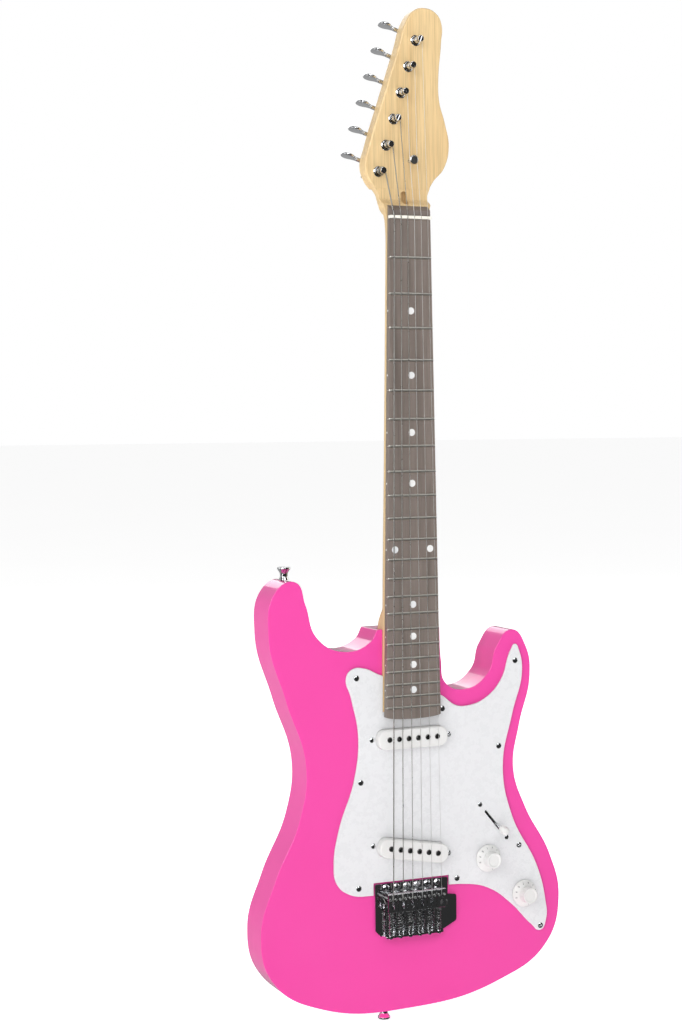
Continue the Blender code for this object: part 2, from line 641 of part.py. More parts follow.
def make_fretboard():
    """The board with its frets pressed in."""
    end_half = board_half_width(BOARD_END_Z)
    bulge = [(end_half * math.cos(math.pi * i / 6), -BOARD_END_BULGE * math.sin(math.pi * i / 6))
             for i in range(7)]
    top_half = board_half_width(BOARD_BEHIND_NUT)
    outline = [(-top_half, BOARD_BEHIND_NUT), (top_half, BOARD_BEHIND_NUT)]
    outline += shifted(bulge, 0.0, BOARD_END_Z + BOARD_END_BULGE)
    board = slab(outline, BOARD_FRONT_Y, BOARD_BACK_Y)
    work = bmesh.new()
    for number in range(1, FRET_COUNT + 1):
        z = fret_z(number)
        size = (2 * (board_half_width(z) - FRET_INSET), FRET_HEIGHT + FRET_SUNK, FRET_WIDTH)
        made = bmesh.ops.create_cube(work, size=1.0)
        bmesh.ops.scale(work, vec=size, verts=made["verts"])
        bmesh.ops.translate(work, vec=(0.0, BOARD_FRONT_Y + FRET_SUNK - size[1] / 2, z), verts=made["verts"])
    mesh = bpy.data.meshes.new("frets")
    work.to_mesh(mesh)
    work.free()
    wires = bpy.data.objects.new("frets", mesh)
    bpy.context.scene.collection.objects.link(wires)
    join(board, wires)
    wide = top_half + PAST
    cut(board, box((-wide, BOARD_FRONT_Y - PAST, 0.0), (wide, BOARD_FRONT_Y + NUT_SLOT_DEPTH, NUT_LENGTH)))
    over, past_end = 0.001, BOARD_BEHIND_NUT + 0.0008
    slope = ((BOARD_FRONT_Y - over, BOARD_SLOPE_STARTS - 0.0008), (BOARD_BACK_Y + over, past_end),
             (BOARD_FRONT_Y - over, past_end))
    cut(board, slab(slope, -wide, wide, along="X"))
    return finish_part(board, "fretboard", "rosewood")


def make_nut():
    half = board_half_width(0.0)
    floor_y = STRING_FLOOR_NUT_Y + GAP
    nut = box((-half, BOARD_FRONT_Y - NUT_STANDS, GAP),
              (half, BOARD_FRONT_Y + NUT_SLOT_DEPTH - GAP, NUT_LENGTH - GAP))
    for string in range(STRING_COUNT):
        x = string_x(string, 0.0)
        cut(nut, box((x - NUT_NOTCH_WIDTH / 2, BOARD_FRONT_Y - 0.01, -0.01),
                     (x + NUT_NOTCH_WIDTH / 2, floor_y, 0.01)))
    return finish_part(nut, "nut", "bone_plastic")


# ---------------------------------------------------------------- head hardware
def make_tuner(string):
    """A closed tuner: housing behind the head, worm shaft with its key, and the string post.
    In its own frame the post stands at the origin, +Z runs up the row and -X towards the key."""
    x, z = post_place(string)
    number = string + 1
    row = frame_empty(f"tuner_{number}_frame", (x, 0.0, z), TUNER_ROW_TILT)
    key_pivot = frame_empty(f"tuner_key_{number}_axis", (0.0, WORM_Y, WORM_OFFSET))
    key_pivot.parent = row
    low_y = HEAD_BACK_Y + GAP
    high_y = low_y + HOUSING_DEPTH
    middle = WORM_OFFSET / 2
    half_x, half_z = HOUSING_WIDTH / 2, HOUSING_LENGTH / 2
    housing = box((-half_x, low_y, middle - half_z), (half_x, high_y, middle + half_z))
    bevel(housing, HOUSING_WALL * 0.8)
    wall = HOUSING_WALL
    cut(housing, box((-half_x + wall, low_y - PAST, middle - half_z + wall),
                     (half_x - wall, high_y - wall, middle + half_z - wall)), row)
    cut(housing, cylinder((-half_x, WORM_Y, WORM_OFFSET), KEY_SHAFT_RADIUS + 0.0004, 0.008, axis="X",
                          sides=12), row)
    finish_part(housing, f"tuner_housing_{number}", "chrome", row)

    gear_front, gear_back = WORM_Y - GEAR_THICKNESS / 2, WORM_Y + GEAR_THICKNESS / 2
    profile = ((0.0, -POST_TOP_Y), (POST_RADIUS, -POST_TOP_Y),
               (POST_RADIUS, -POST_WAIST_Y + POST_WAIST_LENGTH),
               (POST_RADIUS - POST_WAIST, -POST_WAIST_Y), (POST_RADIUS, -POST_WAIST_Y - POST_WAIST_LENGTH),
               (POST_RADIUS, -gear_front), (POST_GEAR_RADIUS, -gear_front),
               (POST_GEAR_RADIUS, -gear_back), (0.0, -gear_back))
    post = place(turned(profile, 12), rotation=FACE_FRONT)
    finish_part(post, f"tuner_post_{number}", "chrome", row)

    inner = half_x - wall - KEY_END_PLAY
    collar = -half_x - KEY_END_PLAY
    collar_end = collar - KEY_COLLAR_LENGTH
    shaft_end = KEY_REACH - KEY_LENGTH + 0.003
    profile = ((0.0, inner), (WORM_RADIUS, inner), (WORM_RADIUS, -inner), (KEY_SHAFT_RADIUS, -inner),
               (KEY_SHAFT_RADIUS, collar), (KEY_COLLAR_RADIUS, collar), (KEY_COLLAR_RADIUS, collar_end),
               (KEY_SHAFT_RADIUS, collar_end - 0.0005), (KEY_SHAFT_RADIUS, -shaft_end), (0.0, -shaft_end))
    key = place(turned(profile, 10), rotation=(0.0, math.pi / 2, 0.0))
    paddle_points = ((-KEY_REACH + KEY_LENGTH, 0.0), (-KEY_REACH + 0.8 * KEY_LENGTH, 0.42 * KEY_HEIGHT),
                     (-KEY_REACH + 0.35 * KEY_LENGTH, 0.5 * KEY_HEIGHT), (-KEY_REACH, 0.0),
                     (-KEY_REACH + 0.35 * KEY_LENGTH, -0.5 * KEY_HEIGHT),
                     (-KEY_REACH + 0.8 * KEY_LENGTH, -0.42 * KEY_HEIGHT))
    paddle = mesh_from(flat_curve(paddle_points, KEY_THICKNESS, True, 3))
    bevel(paddle, KEY_THICKNESS * 0.25)
    join(key, paddle, key_pivot)
    finish_part(key, f"tuner_key_{number}", "chrome", key_pivot)


def string_line(string, z):
    """x of a string at height z between the nut and the tangent of its post."""
    x, post_z = post_place(string)
    x += POST_RADIUS - POST_WAIST + GAP + STRING_RADII[string]
    start = string_x(string, 0.0)
    return start + (x - start) * z / post_z


def make_string_tree():
    x = sum(string_line(s, TREE_FROM_NUT) for s in TREE_STRINGS) / 2
    rise = -TREE_UNDER_Y
    profile = ((0.0, rise + 0.0022), (TREE_RADIUS - 0.0008, rise + 0.0020), (TREE_RADIUS, rise + 0.0010),
               (TREE_RADIUS, rise), (TREE_STEM_RADIUS, rise), (TREE_STEM_RADIUS, -HEAD_FACE_Y + GAP),
               (0.0, -HEAD_FACE_Y + GAP))
    tree = place(turned(profile, 16), (x, 0.0, TREE_FROM_NUT), FACE_FRONT)
    return finish_part(tree, "string_tree", "chrome")


# ---------------------------------------------------------------- strings
def make_string(string):
    radius = STRING_RADII[string]
    post_x, post_z = post_place(string)
    side = POST_RADIUS - POST_WAIST + GAP + radius
    nut_y = STRING_FLOOR_NUT_Y - radius
    saddle_y = STRING_FLOOR_SADDLE_Y - radius
    saddle_x = string_x(string, SADDLE_Z)
    behind = SADDLE_Z - 0.0050
    points = [
        (saddle_x, PLATE_FRONT_Y - 0.0020, behind - 0.0035),
        (saddle_x, (saddle_y + PLATE_FRONT_Y) / 2, behind - 0.0032),
        (saddle_x, saddle_y, behind),
        (saddle_x, saddle_y, SADDLE_Z),
        (string_x(string, 0.0), nut_y, 0.0),
        (string_line(string, NUT_LENGTH), nut_y, NUT_LENGTH),
    ]
    if string in TREE_STRINGS:
        points.append((string_line(string, TREE_FROM_NUT), TREE_UNDER_Y + GAP + radius, TREE_FROM_NUT))
    points.append((post_x + side, POST_WAIST_Y, post_z))
    points.append((post_x + side, POST_WAIST_Y, post_z + 0.0015))
    data = bpy.data.curves.new("string", "CURVE")
    data.dimensions = "3D"
    data.bevel_depth = radius
    data.bevel_resolution = 1
    data.use_fill_caps = True
    spline = data.splines.new("POLY")
    spline.points.add(len(points) - 1)
    for knot, point in zip(spline.points, points):
        knot.co = (*point, 1.0)
    wire = bpy.data.objects.new("string", data)
    bpy.context.scene.collection.objects.link(wire)
    return finish_part(mesh_from(wire), f"string_{string + 1}", "steel")


# ---------------------------------------------------------------- pickguard and what it carries
def make_pickguard(openings):
    guard = slab(drawn_on_body(GUARD_OUTLINE), GUARD_FRONT_Y, -GAP, smooth=True, steps=4)
    bevel(guard, GUARD_CHAMFER)
    front, back = GUARD_FRONT_Y - PAST, PAST
    cut(guard, slab(pocket_outline(2 * GAP), front, back))
    end_half = board_half_width(BOARD_END_Z)
    if BOARD_BACK_Y + GAP > GUARD_FRONT_Y:
        cut(guard, box((-end_half - GAP, front, BOARD_END_Z - GAP), (end_half + GAP, back, HEEL_TOP_Z)))
    notch = PLATE_HALF_WIDTH + 0.0015
    cut(guard, box((-notch, front, SADDLE_Z - 0.06),
                   (notch, back, SADDLE_Z + PLATE_FRONT_FROM_SADDLE + 0.0015)))
    for opening in openings:
        cut(guard, opening)
    return finish_part(guard, "pickguard", "white_plastic")


def pickup_outline(extra=0.0):
    width = PICKUP_WIDTH + 2 * extra
    return rounded_rectangle(PICKUP_LENGTH + 2 * extra, width, width / 2 - 0.0002, 5)


def make_pickup(name, z, slant, top_y):
    """A moulded cover over a bobbin with six pole pieces. Returns the guard's opening for it."""
    holder = frame_empty(f"{name}_frame", (0.0, 0.0, z), slant)
    cover = slab(pickup_outline(), top_y, PICKUP_FOOT_Y)
    bevel(cover, PICKUP_EDGE, angle=60.0)
    ears = rounded_rectangle(PICKUP_EARS, PICKUP_WIDTH - 0.002, 0.004, 2)
    join(cover, slab(ears, PICKUP_FOOT_Y - 0.0015, PICKUP_FOOT_Y + 0.0002), holder)
    inner = PICKUP_WIDTH - 2 * PICKUP_WALL
    hollow = rounded_rectangle(PICKUP_LENGTH - 2 * PICKUP_WALL, inner, inner / 2 - 0.0002, 4)
    cut(cover, slab(hollow, top_y + PICKUP_WALL, PICKUP_FOOT_Y + 0.003), holder)
    poles = [((i / (STRING_COUNT - 1) - 0.5) * POLE_SPREAD) for i in range(STRING_COUNT)]
    for x in poles:
        cut(cover, cylinder((x, top_y, 0.0), POLE_RADIUS + GAP, 0.006, sides=12), holder)
    finish_part(cover, f"{name}_cover", "white_plastic", holder)

    bobbin_top = top_y + PICKUP_WALL + 0.0006
    bobbin = slab(rounded_rectangle(PICKUP_LENGTH - 0.0065, inner - 0.0012, (inner - 0.0012) / 2 - 0.0002, 3),
                  bobbin_top, PICKUP_FOOT_Y + 0.0015)
    for x in poles:
        pole = cylinder((x, (top_y - POLE_STANDS + bobbin_top + 0.002) / 2, 0.0), POLE_RADIUS,
                        bobbin_top + 0.002 - top_y + POLE_STANDS, sides=12)
        join(bobbin, pole, holder)
    finish_part(bobbin, f"{name}_core", "dark_plastic", holder)
    turned_outline = slanted(pickup_outline(2 * GAP), -slant, 0.0, z)
    return slab(turned_outline, GUARD_FRONT_Y - PAST, PAST)


def make_pot(name, place_on_body):
    """A rotary potentiometer under the guard. Returns the guard's hole for its bush."""
    x, z = on_body(*place_on_body)
    bush_top = -GUARD_FRONT_Y + POT_BUSH_STANDS
    profile = ((0.0, -GUARD_FRONT_Y + POT_SHAFT_TOP), (POT_SHAFT_RADIUS, -GUARD_FRONT_Y + POT_SHAFT_TOP),
               (POT_SHAFT_RADIUS, bush_top), (POT_BUSH_RADIUS, bush_top), (POT_BUSH_RADIUS, 0.0),
               (POT_RADIUS, 0.0), (POT_RADIUS, -POT_DEPTH), (0.0, -POT_DEPTH))
    pot = place(turned(profile, 16), (x, 0.0, z), FACE_FRONT)
    finish_part(pot, name, "steel")
    return cylinder((x, 0.0, z), POT_BUSH_RADIUS + 0.0004, 0.02, sides=16)


def make_knob(name, place_on_body):
    x, z = on_body(*place_on_body)
    axis = frame_empty(f"{name}_axis", (x, 0.0, z))
    low = -GUARD_FRONT_Y + KNOB_CLEAR
    top = low + KNOB_HEIGHT
    shaft_hole = POT_SHAFT_RADIUS + GAP
    shaft_end = -GUARD_FRONT_Y + POT_SHAFT_TOP + GAP
    bush_end = -GUARD_FRONT_Y + POT_BUSH_STANDS + GAP
    bush_hole = POT_BUSH_RADIUS + 0.0006
    profile = ((0.0, top), (KNOB_TOP_RADIUS - 0.0010, top), (KNOB_TOP_RADIUS, top - 0.0010),
               (KNOB_TOP_RADIUS + 0.0010, low + 0.0042), (KNOB_RADIUS - 0.0006, low + 0.0018),
               (KNOB_RADIUS, low + 0.0008), (KNOB_RADIUS, low), (bush_hole, low), (bush_hole, bush_end),
               (shaft_hole, bush_end), (shaft_hole, shaft_end), (0.0, shaft_end))
    knob = place(turned(profile, 24), rotation=FACE_FRONT)
    return finish_part(knob, name, "white_plastic", axis)


def make_switch():
    """A three-way blade switch under the guard. Returns the guard's slot."""
    x, z = on_body(*SWITCH_PLACE)
    holder = frame_empty("switch_axis", (x, SWITCH_PIVOT_Y, z), SWITCH_TURN)
    length, width, thick = SWITCH_BAR
    top = -SWITCH_PIVOT_Y
    frame = box((-width / 2, top, -length / 2), (width / 2, top + thick, length / 2))
    cheek = SWITCH_CHEEK_GAP / 2
    half_cheek = SWITCH_CHEEK_LENGTH / 2
    for side in (-1, 1):
        low_x, high_x = sorted((side * cheek, side * (cheek + SWITCH_CHEEK)))
        join(frame, box((low_x, top + thick / 2, -half_cheek), (high_x, SWITCH_FOOT_Y, half_cheek)), holder)
    overlap = SWITCH_CHEEK / 2
    join(frame, box((-cheek - overlap, SWITCH_FOOT_Y - SWITCH_CHEEK, -half_cheek + 0.0005),
                    (cheek + overlap, SWITCH_FOOT_Y + 0.0002, half_cheek - 0.0005)), holder)
    cut(frame, box((-SWITCH_SLOT[1] / 2, top - 0.002, -SWITCH_SLOT[0] / 2),
                   (SWITCH_SLOT[1] / 2, top + thick + 0.001, SWITCH_SLOT[0] / 2)), holder)
    finish_part(frame, "switch_frame", "steel", holder)

    lever_axis = frame_empty("switch_lever_axis", (0.0, 0.0, 0.0))
    lever_axis.parent = holder
    lever_axis.rotation_euler = (SWITCH_SWING, 0.0, 0.0)
    half = LEVER_THICKNESS / 2
    lever = box((-half, -LEVER_REACH - LEVER_IN_TIP, -LEVER_WIDTH / 2), (half, 0.0, LEVER_WIDTH / 2))
    hub_length = LEVER_THICKNESS + 0.0012
    join(lever, cylinder((0.0, 0.0, 0.0), LEVER_HUB_RADIUS, hub_length, axis="X", sides=16), lever_axis)
    finish_part(lever, "switch_lever", "chrome", lever_axis)
    foot, end = LEVER_REACH, LEVER_REACH + TIP_LENGTH
    profile = ((0.0, end), (TIP_RADIUS * 0.6, end - 0.0004), (TIP_RADIUS, end - 0.0020),
               (TIP_RADIUS * 0.92, foot + 0.0015), (TIP_RADIUS * 0.7, foot), (0.0, foot))
    tip = place(turned(profile, 14), rotation=FACE_FRONT)
    room = GAP
    cut(tip, box((-half - room, -LEVER_REACH - LEVER_IN_TIP - room, -LEVER_WIDTH / 2 - room),
                 (half + room, 0.0, LEVER_WIDTH / 2 + room)), lever_axis)
    finish_part(tip, "switch_tip", "white_plastic", lever_axis)
    slot = rounded_rectangle(SWITCH_SLOT[1], SWITCH_SLOT[0], SWITCH_SLOT[1] / 2 - 0.0001, 3)
    return slab(slanted(slot, -SWITCH_TURN, x, z), GUARD_FRONT_Y - PAST, PAST)


# ---------------------------------------------------------------- tremolo bridge
def make_bridge_plate():
    front = SADDLE_Z + PLATE_FRONT_FROM_SADDLE
    back = SADDLE_Z - PLATE_BACK_FROM_SADDLE
    half = PLATE_HALF_WIDTH
    wing, wing_start, wing_end = ARM_WING
    corner = 0.0060
    outline = ((-half, front), (half, front), (half, SADDLE_Z - wing_start),
               (half + wing, SADDLE_Z - wing_start - 0.001), (half + wing, SADDLE_Z - wing_end + 0.003),
               (half, back + corner), (half - corner, back), (-half + corner, back), (-half, back + corner))
    plate = slab(outline, PLATE_FRONT_Y, -GAP)
    lip = 0.0016
    join(plate, box((-half + corner, PLATE_FRONT_Y - PLATE_FLANGE_HEIGHT, back),
                    (half - corner, PLATE_FRONT_Y + 0.001, back + lip)))
    for string in range(STRING_COUNT):
        cut(plate, cylinder((string_x(string, SADDLE_Z), -0.001, SADDLE_Z - 0.0085), 0.0017, 0.01, sides=10))
    cut(plate, cylinder((half - ARM_HOLE_FROM_EDGE, -0.001, SADDLE_Z - ARM_HOLE_FROM_SADDLE),
                        ARM_HOLE_RADIUS, 0.01, sides=14))
    return finish_part(plate, "bridge_plate", "chrome")


def make_block():
    front = SADDLE_Z + PLATE_FRONT_FROM_SADDLE - 0.003
    block = box((-BLOCK_HALF_WIDTH, 0.0, front - BLOCK_THICKNESS),
                (BLOCK_HALF_WIDTH, BODY_DEPTH - BLOCK_FROM_BACK, front))
    bevel(block, 0.0010)
    return finish_part(block, "tremolo_block", "steel")


def make_saddle(string):
    x = string_x(string, SADDLE_Z)
    half = (STRING_SPREAD_SADDLE / (STRING_COUNT - 1) - GAP) / 2
    front = SADDLE_Z + 0.0040
    back = front - SADDLE_LENGTH
    under = SADDLE_CREST_Y + SADDLE_BODY_HEIGHT
    side = ((under, front - 0.001), (SADDLE_CREST_Y + 0.0020, front), (SADDLE_CREST_Y, front - 0.0015),
            (SADDLE_CREST_Y, back + 0.004), (SADDLE_CREST_Y + 0.0015, back), (under, back))
    saddle = slab(side, x - half, x + half, along="X")
    cut(saddle, box((x - SADDLE_SLOT / 2, SADDLE_CREST_Y - 0.002, SADDLE_Z - 0.0115),
                    (x + SADDLE_SLOT / 2, under + 0.002, SADDLE_Z - 0.0040)))
    for leg_x in (x - half + 0.0020, x + half - 0.0020):
        length = PLATE_FRONT_Y - GAP - under + 0.0010
        join(saddle, cylinder((leg_x, under - 0.0010 + length / 2, front - 0.0045), SADDLE_LEG_RADIUS,
                              length, sides=10))
    return finish_part(saddle, f"saddle_{string + 1}", "chrome")


def make_springs():
    """Springs from the claw to the block, each drawn as a plain sleeve of the coil's outer size."""
    spring_y = BODY_DEPTH - SPRING_CAVITY_DEPTH + SPRING_RADIUS + 0.0004
    claw_z = SADDLE_Z + SPRING_CAVITY_LENGTH - 0.010
    claw_half = SPRING_PITCH * (SPRING_COUNT - 1) / 2 + 0.009
    claw = box((-claw_half, spring_y - CLAW_HEIGHT / 2 + 0.002, claw_z),
               (claw_half, spring_y + CLAW_HEIGHT / 2, claw_z + CLAW_THICKNESS))
    join(claw, box((-claw_half, spring_y + CLAW_HEIGHT / 2 - CLAW_THICKNESS, claw_z + CLAW_THICKNESS / 2),
                   (claw_half, spring_y + CLAW_HEIGHT / 2, claw_z + 0.0070)))
    finish_part(claw, "spring_claw", "steel")
    low = SADDLE_Z + PLATE_FRONT_FROM_SADDLE - 0.003 + GAP
    high = claw_z - GAP
    neck = 0.0050
    for index in range(SPRING_COUNT):
        x = (index - (SPRING_COUNT - 1) / 2) * SPRING_PITCH
        profile = ((0.0, high), (0.0010, high), (0.0010, high - neck), (SPRING_RADIUS, high - neck - 0.001),
                   (SPRING_RADIUS, low + neck + 0.001), (0.0010, low + neck), (0.0010, low), (0.0, low))
        spring = place(turned(profile, 10), (x, spring_y, 0.0))
        finish_part(spring, f"tremolo_spring_{index + 1}", "steel")


# ---------------------------------------------------------------- plates, jack and buttons
def make_back_cover():
    width, height = COVER_SIZE
    low = SADDLE_Z - COVER_END_FROM_SADDLE
    front = BODY_DEPTH + GAP
    outline = shifted(rounded_rectangle(width, height, COVER_CORNER), 0.0, low + height / 2)
    cover = slab(outline, front, front + COVER_THICKNESS)
    window = shifted(rounded_rectangle(*COVER_WINDOW, COVER_WINDOW[1] * 0.4), 0.0, SADDLE_Z)
    cut(cover, slab(window, front - 0.002, front + COVER_THICKNESS + 0.002))
    return finish_part(cover, "back_cover", "white_plastic")


def make_neck_plate():
    width, height = NECK_PLATE_SIZE
    front = BODY_DEPTH + GAP
    outline = rounded_rectangle(width, height, NECK_PLATE_CORNER)
    plate = slab(shifted(outline, 0.0, POCKET_END_Z + height / 2), front, front + NECK_PLATE_THICKNESS)
    bevel(plate, NECK_PLATE_THICKNESS * 0.25, angle=60.0)
    return finish_part(plate, "neck_plate", "black_paint")


def make_jack(seat):
    """The rim's jack plate and the socket that is clamped through it, looking along +X."""
    front = seat.x + GAP
    back_of_nut = JACK_PLATE_THICKNESS + GAP
    outline = rounded_rectangle(*JACK_PLATE_SIZE, JACK_PLATE_CORNER)
    plate = slab(shifted(outline, seat.y, seat.z), front, front + JACK_PLATE_THICKNESS, along="X")
    cut(plate, cylinder((front, seat.y, seat.z), JACK_BARREL_RADIUS + 0.0003, 0.01, axis="X", sides=16))
    finish_part(plate, "jack_plate", "chrome")
    profile = ((JACK_BORE_RADIUS, back_of_nut + 0.0024), (JACK_BARREL_RADIUS, back_of_nut + 0.0024),
               (JACK_BARREL_RADIUS, back_of_nut + 0.0020), (JACK_NUT_RADIUS, back_of_nut + 0.0018),
               (JACK_NUT_RADIUS, back_of_nut), (JACK_BARREL_RADIUS, back_of_nut),
               (JACK_BARREL_RADIUS, -GAP), (JACK_SLEEVE_RADIUS, -GAP), (JACK_SLEEVE_RADIUS, -0.0040),
               (JACK_BARREL_RADIUS + 0.0010, -0.0040), (JACK_BARREL_RADIUS + 0.0010, -JACK_LENGTH),
               (JACK_BORE_RADIUS, -JACK_LENGTH), (JACK_BORE_RADIUS, back_of_nut + 0.0024))
    socket = place(turned(profile, 16), (front, seat.y, seat.z), (0.0, math.pi / 2, 0.0))
    return finish_part(socket, "jack_socket", "chrome")


def make_strap_button(name, foot, up):
    profile = ((0.0, BUTTON_HEIGHT), (BUTTON_RADIUS - 0.0006, BUTTON_HEIGHT),
               (BUTTON_RADIUS, BUTTON_HEIGHT - 0.0008), (BUTTON_RADIUS, BUTTON_HEIGHT - 0.0016),
               (BUTTON_WAIST, BUTTON_HEIGHT - 0.0050), (BUTTON_WAIST, 0.0030),
               (BUTTON_WAIST + 0.0014, 0.0), (0.0, 0.0))
    turn = (0.0, 0.0, 0.0) if up > 0 else (math.pi, 0.0, 0.0)
    at = (foot.x, BODY_DEPTH / 2, foot.z + up * GAP)
    button = place(turned(profile, 16), at, turn)
    return finish_part(button, name, "chrome")


# ---------------------------------------------------------------- the guitar
clear_scene()
guitar = new_collection("electric_guitar")
cutters = new_collection("cutters")

_, jack_seat, horn_tip, tail_end = make_body()
make_neck()
make_truss_rod()
make_fretboard()
make_nut()
for each in range(STRING_COUNT):
    make_tuner(each)
    make_string(each)
    make_saddle(each)
make_string_tree()

guard_openings = [
    make_pickup("neck_pickup", NECK_PICKUP_Z, 0.0, NECK_PICKUP_TOP_Y),
    make_pickup("bridge_pickup", BRIDGE_PICKUP_Z, BRIDGE_PICKUP_SLANT, BRIDGE_PICKUP_TOP_Y),
    make_pot("volume_pot", KNOB_PLACES[0]),
    make_pot("tone_pot", KNOB_PLACES[1]),
    make_switch(),
]
make_knob("volume_knob", KNOB_PLACES[0])
make_knob("tone_knob", KNOB_PLACES[1])
make_pickguard(guard_openings)

make_bridge_plate()
make_block()
make_springs()
make_back_cover()
make_neck_plate()
make_jack(jack_seat)
make_strap_button("strap_button_horn", horn_tip, 1)
make_strap_button("strap_button_tail", tail_end, -1)
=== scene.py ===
"""Looks for the small pink electric guitar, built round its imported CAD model.

Metres, in the CAD's frame: +Z up the neck, the front faces -Y, +X is the thin string's side.
"""

import math
import random

import bmesh
import bpy
from mathutils import Matrix, Vector


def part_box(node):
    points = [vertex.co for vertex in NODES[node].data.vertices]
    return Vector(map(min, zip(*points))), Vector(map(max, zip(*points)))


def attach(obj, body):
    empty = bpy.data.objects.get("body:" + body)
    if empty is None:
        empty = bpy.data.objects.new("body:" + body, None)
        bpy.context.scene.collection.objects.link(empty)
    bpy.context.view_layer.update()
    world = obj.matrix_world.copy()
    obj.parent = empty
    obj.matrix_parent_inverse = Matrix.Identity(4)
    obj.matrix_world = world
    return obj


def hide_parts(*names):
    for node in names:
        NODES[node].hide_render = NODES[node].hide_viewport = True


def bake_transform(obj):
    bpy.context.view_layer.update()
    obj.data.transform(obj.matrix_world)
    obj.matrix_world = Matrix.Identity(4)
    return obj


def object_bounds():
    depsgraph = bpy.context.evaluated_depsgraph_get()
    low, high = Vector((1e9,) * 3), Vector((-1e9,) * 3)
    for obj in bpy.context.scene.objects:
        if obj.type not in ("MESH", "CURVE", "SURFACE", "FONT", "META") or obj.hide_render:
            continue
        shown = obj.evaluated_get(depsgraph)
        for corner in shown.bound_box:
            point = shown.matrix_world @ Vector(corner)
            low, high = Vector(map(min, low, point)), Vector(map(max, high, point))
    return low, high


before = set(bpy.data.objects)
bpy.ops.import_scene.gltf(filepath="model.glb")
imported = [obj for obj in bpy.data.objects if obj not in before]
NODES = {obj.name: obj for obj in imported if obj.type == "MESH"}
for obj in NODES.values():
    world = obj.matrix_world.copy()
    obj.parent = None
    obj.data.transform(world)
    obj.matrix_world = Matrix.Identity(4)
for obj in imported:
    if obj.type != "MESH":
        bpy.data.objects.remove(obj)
CAD_LOW, CAD_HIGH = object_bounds()
ROOT = "guitar"
TREMOLO = "tremolo"
DICE = random.Random(7)
GAP = 0.0003
FRONT, REAR = (0, -1, 0), (0, 1, 0)      # the ways that the two faces look

# ---------------------------------------------------------------- sizes shared with the CAD model
SCALE_LENGTH = 0.614
FRET_COUNT = 22
NUT_WIDTH, LAST_FRET_WIDTH = 0.0405, 0.0545
BOARD_FRONT_Y, BOARD_BACK_Y = -0.0100, -0.0043
BOARD_BEHIND_NUT = 0.0125
NECK_FRONT_Y = BOARD_BACK_Y + GAP
HEAD_FACE_Y, HEAD_BACK_Y = 0.0030, 0.0170
HEEL_BACK_Y = 0.0157
BODY_DEPTH = 0.0360
GUARD_FRONT_Y = -0.0026
PLATE_FRONT_Y = -0.0025
SADDLE_Z = -SCALE_LENGTH
SADDLE_CREST_Y = -0.0149
STRING_COUNT = 6
STRING_RADII = (0.00015, 0.00020, 0.00025, 0.00035, 0.00045, 0.00058)
TUNER_PITCH = 0.0251
GEAR_TEETH = 14
TUNER_TILT = math.radians(17.6)
TUNER_FIRST = (-0.0251, 0.0430)
POST_RADIUS = 0.0030
POST_WAIST_Y = -0.0045
WORM_OFFSET = 0.0085
WORM_Y = 0.02235


def fret_z(number):
    return -SCALE_LENGTH * (1 - 2 ** (-number / 12))


def board_half(z):
    return (NUT_WIDTH + (LAST_FRET_WIDTH - NUT_WIDTH) * z / fret_z(FRET_COUNT)) / 2


def string_x(string, z):
    spread = 0.0335 + (0.0490 - 0.0335) * -z / SCALE_LENGTH
    return spread * (0.5 - string / (STRING_COUNT - 1))


def post_place(string):
    steps = STRING_COUNT - 1 - string
    return (TUNER_FIRST[0] + steps * TUNER_PITCH * math.sin(TUNER_TILT),
            TUNER_FIRST[1] + steps * TUNER_PITCH * math.cos(TUNER_TILT))


BOARD_END_Z = fret_z(FRET_COUNT) - 0.0110
POCKET_END_Z = fret_z(FRET_COUNT) - 0.0040
HEEL_TOP_Z = POCKET_END_Z + 0.0750
NECK_PICKUP_Z = BOARD_END_Z - 0.0180
BRIDGE_PICKUP_Z = SADDLE_Z + 0.0394
BRIDGE_SLANT = math.radians(10.0)
ANCHOR_Z = (POCKET_END_Z + SADDLE_Z) / 2


# ---------------------------------------------------------------- mesh tools
def new_object(name, mesh):
    obj = bpy.data.objects.new(name, mesh)
    bpy.context.scene.collection.objects.link(obj)
    return obj


def from_bmesh(bm):
    bmesh.ops.recalc_face_normals(bm, faces=bm.faces)
    mesh = bpy.data.meshes.new("piece")
    bm.to_mesh(mesh)
    bm.free()
    return new_object("piece", mesh)


def applied(obj):
    """Applies the modifiers to the object's mesh."""
    graph = bpy.context.evaluated_depsgraph_get()
    mesh = bpy.data.meshes.new_from_object(obj.evaluated_get(graph))
    obj.modifiers.clear()
    obj.data = mesh
    return obj


def boolean(target, tool, operation="DIFFERENCE"):
    made = target.modifiers.new("boolean", "BOOLEAN")
    made.operation = operation
    made.solver = "EXACT"
    made.object = tool
    applied(target)
    bpy.data.objects.remove(tool)
    return target


def cut(target, *tools):
    for tool in tools:
        boolean(target, tool)
    return target


def join(target, *others):
    for other in others:
        boolean(target, other, "UNION")
    return target


def gathered(name, parts):
    """One object from (mesh, matrix) pairs, each staying its own closed shell."""
    bm = bmesh.new()
    for mesh, place in parts:
        start = len(bm.verts)
        bm.from_mesh(mesh)
        bm.verts.ensure_lookup_table()
        bmesh.ops.transform(bm, matrix=place, verts=bm.verts[start:])
    whole = bpy.data.meshes.new(name)
    bm.to_mesh(whole)
    bm.free()
    return new_object(name, whole)


def merged(objects):
    """One object from several that don't need a Boolean."""
    whole = gathered("merged", [(obj.data, obj.matrix_basis) for obj in objects])
    for obj in objects:
        bpy.data.objects.remove(obj)
    return whole


def copies(obj, places):
    """The object's mesh repeated at several matrices, as one object."""
    whole = gathered("copies", [(obj.data, place) for place in places])
    bpy.data.objects.remove(obj)
    return whole


def moved(obj, matrix):
    obj.data.transform(matrix)
    return obj


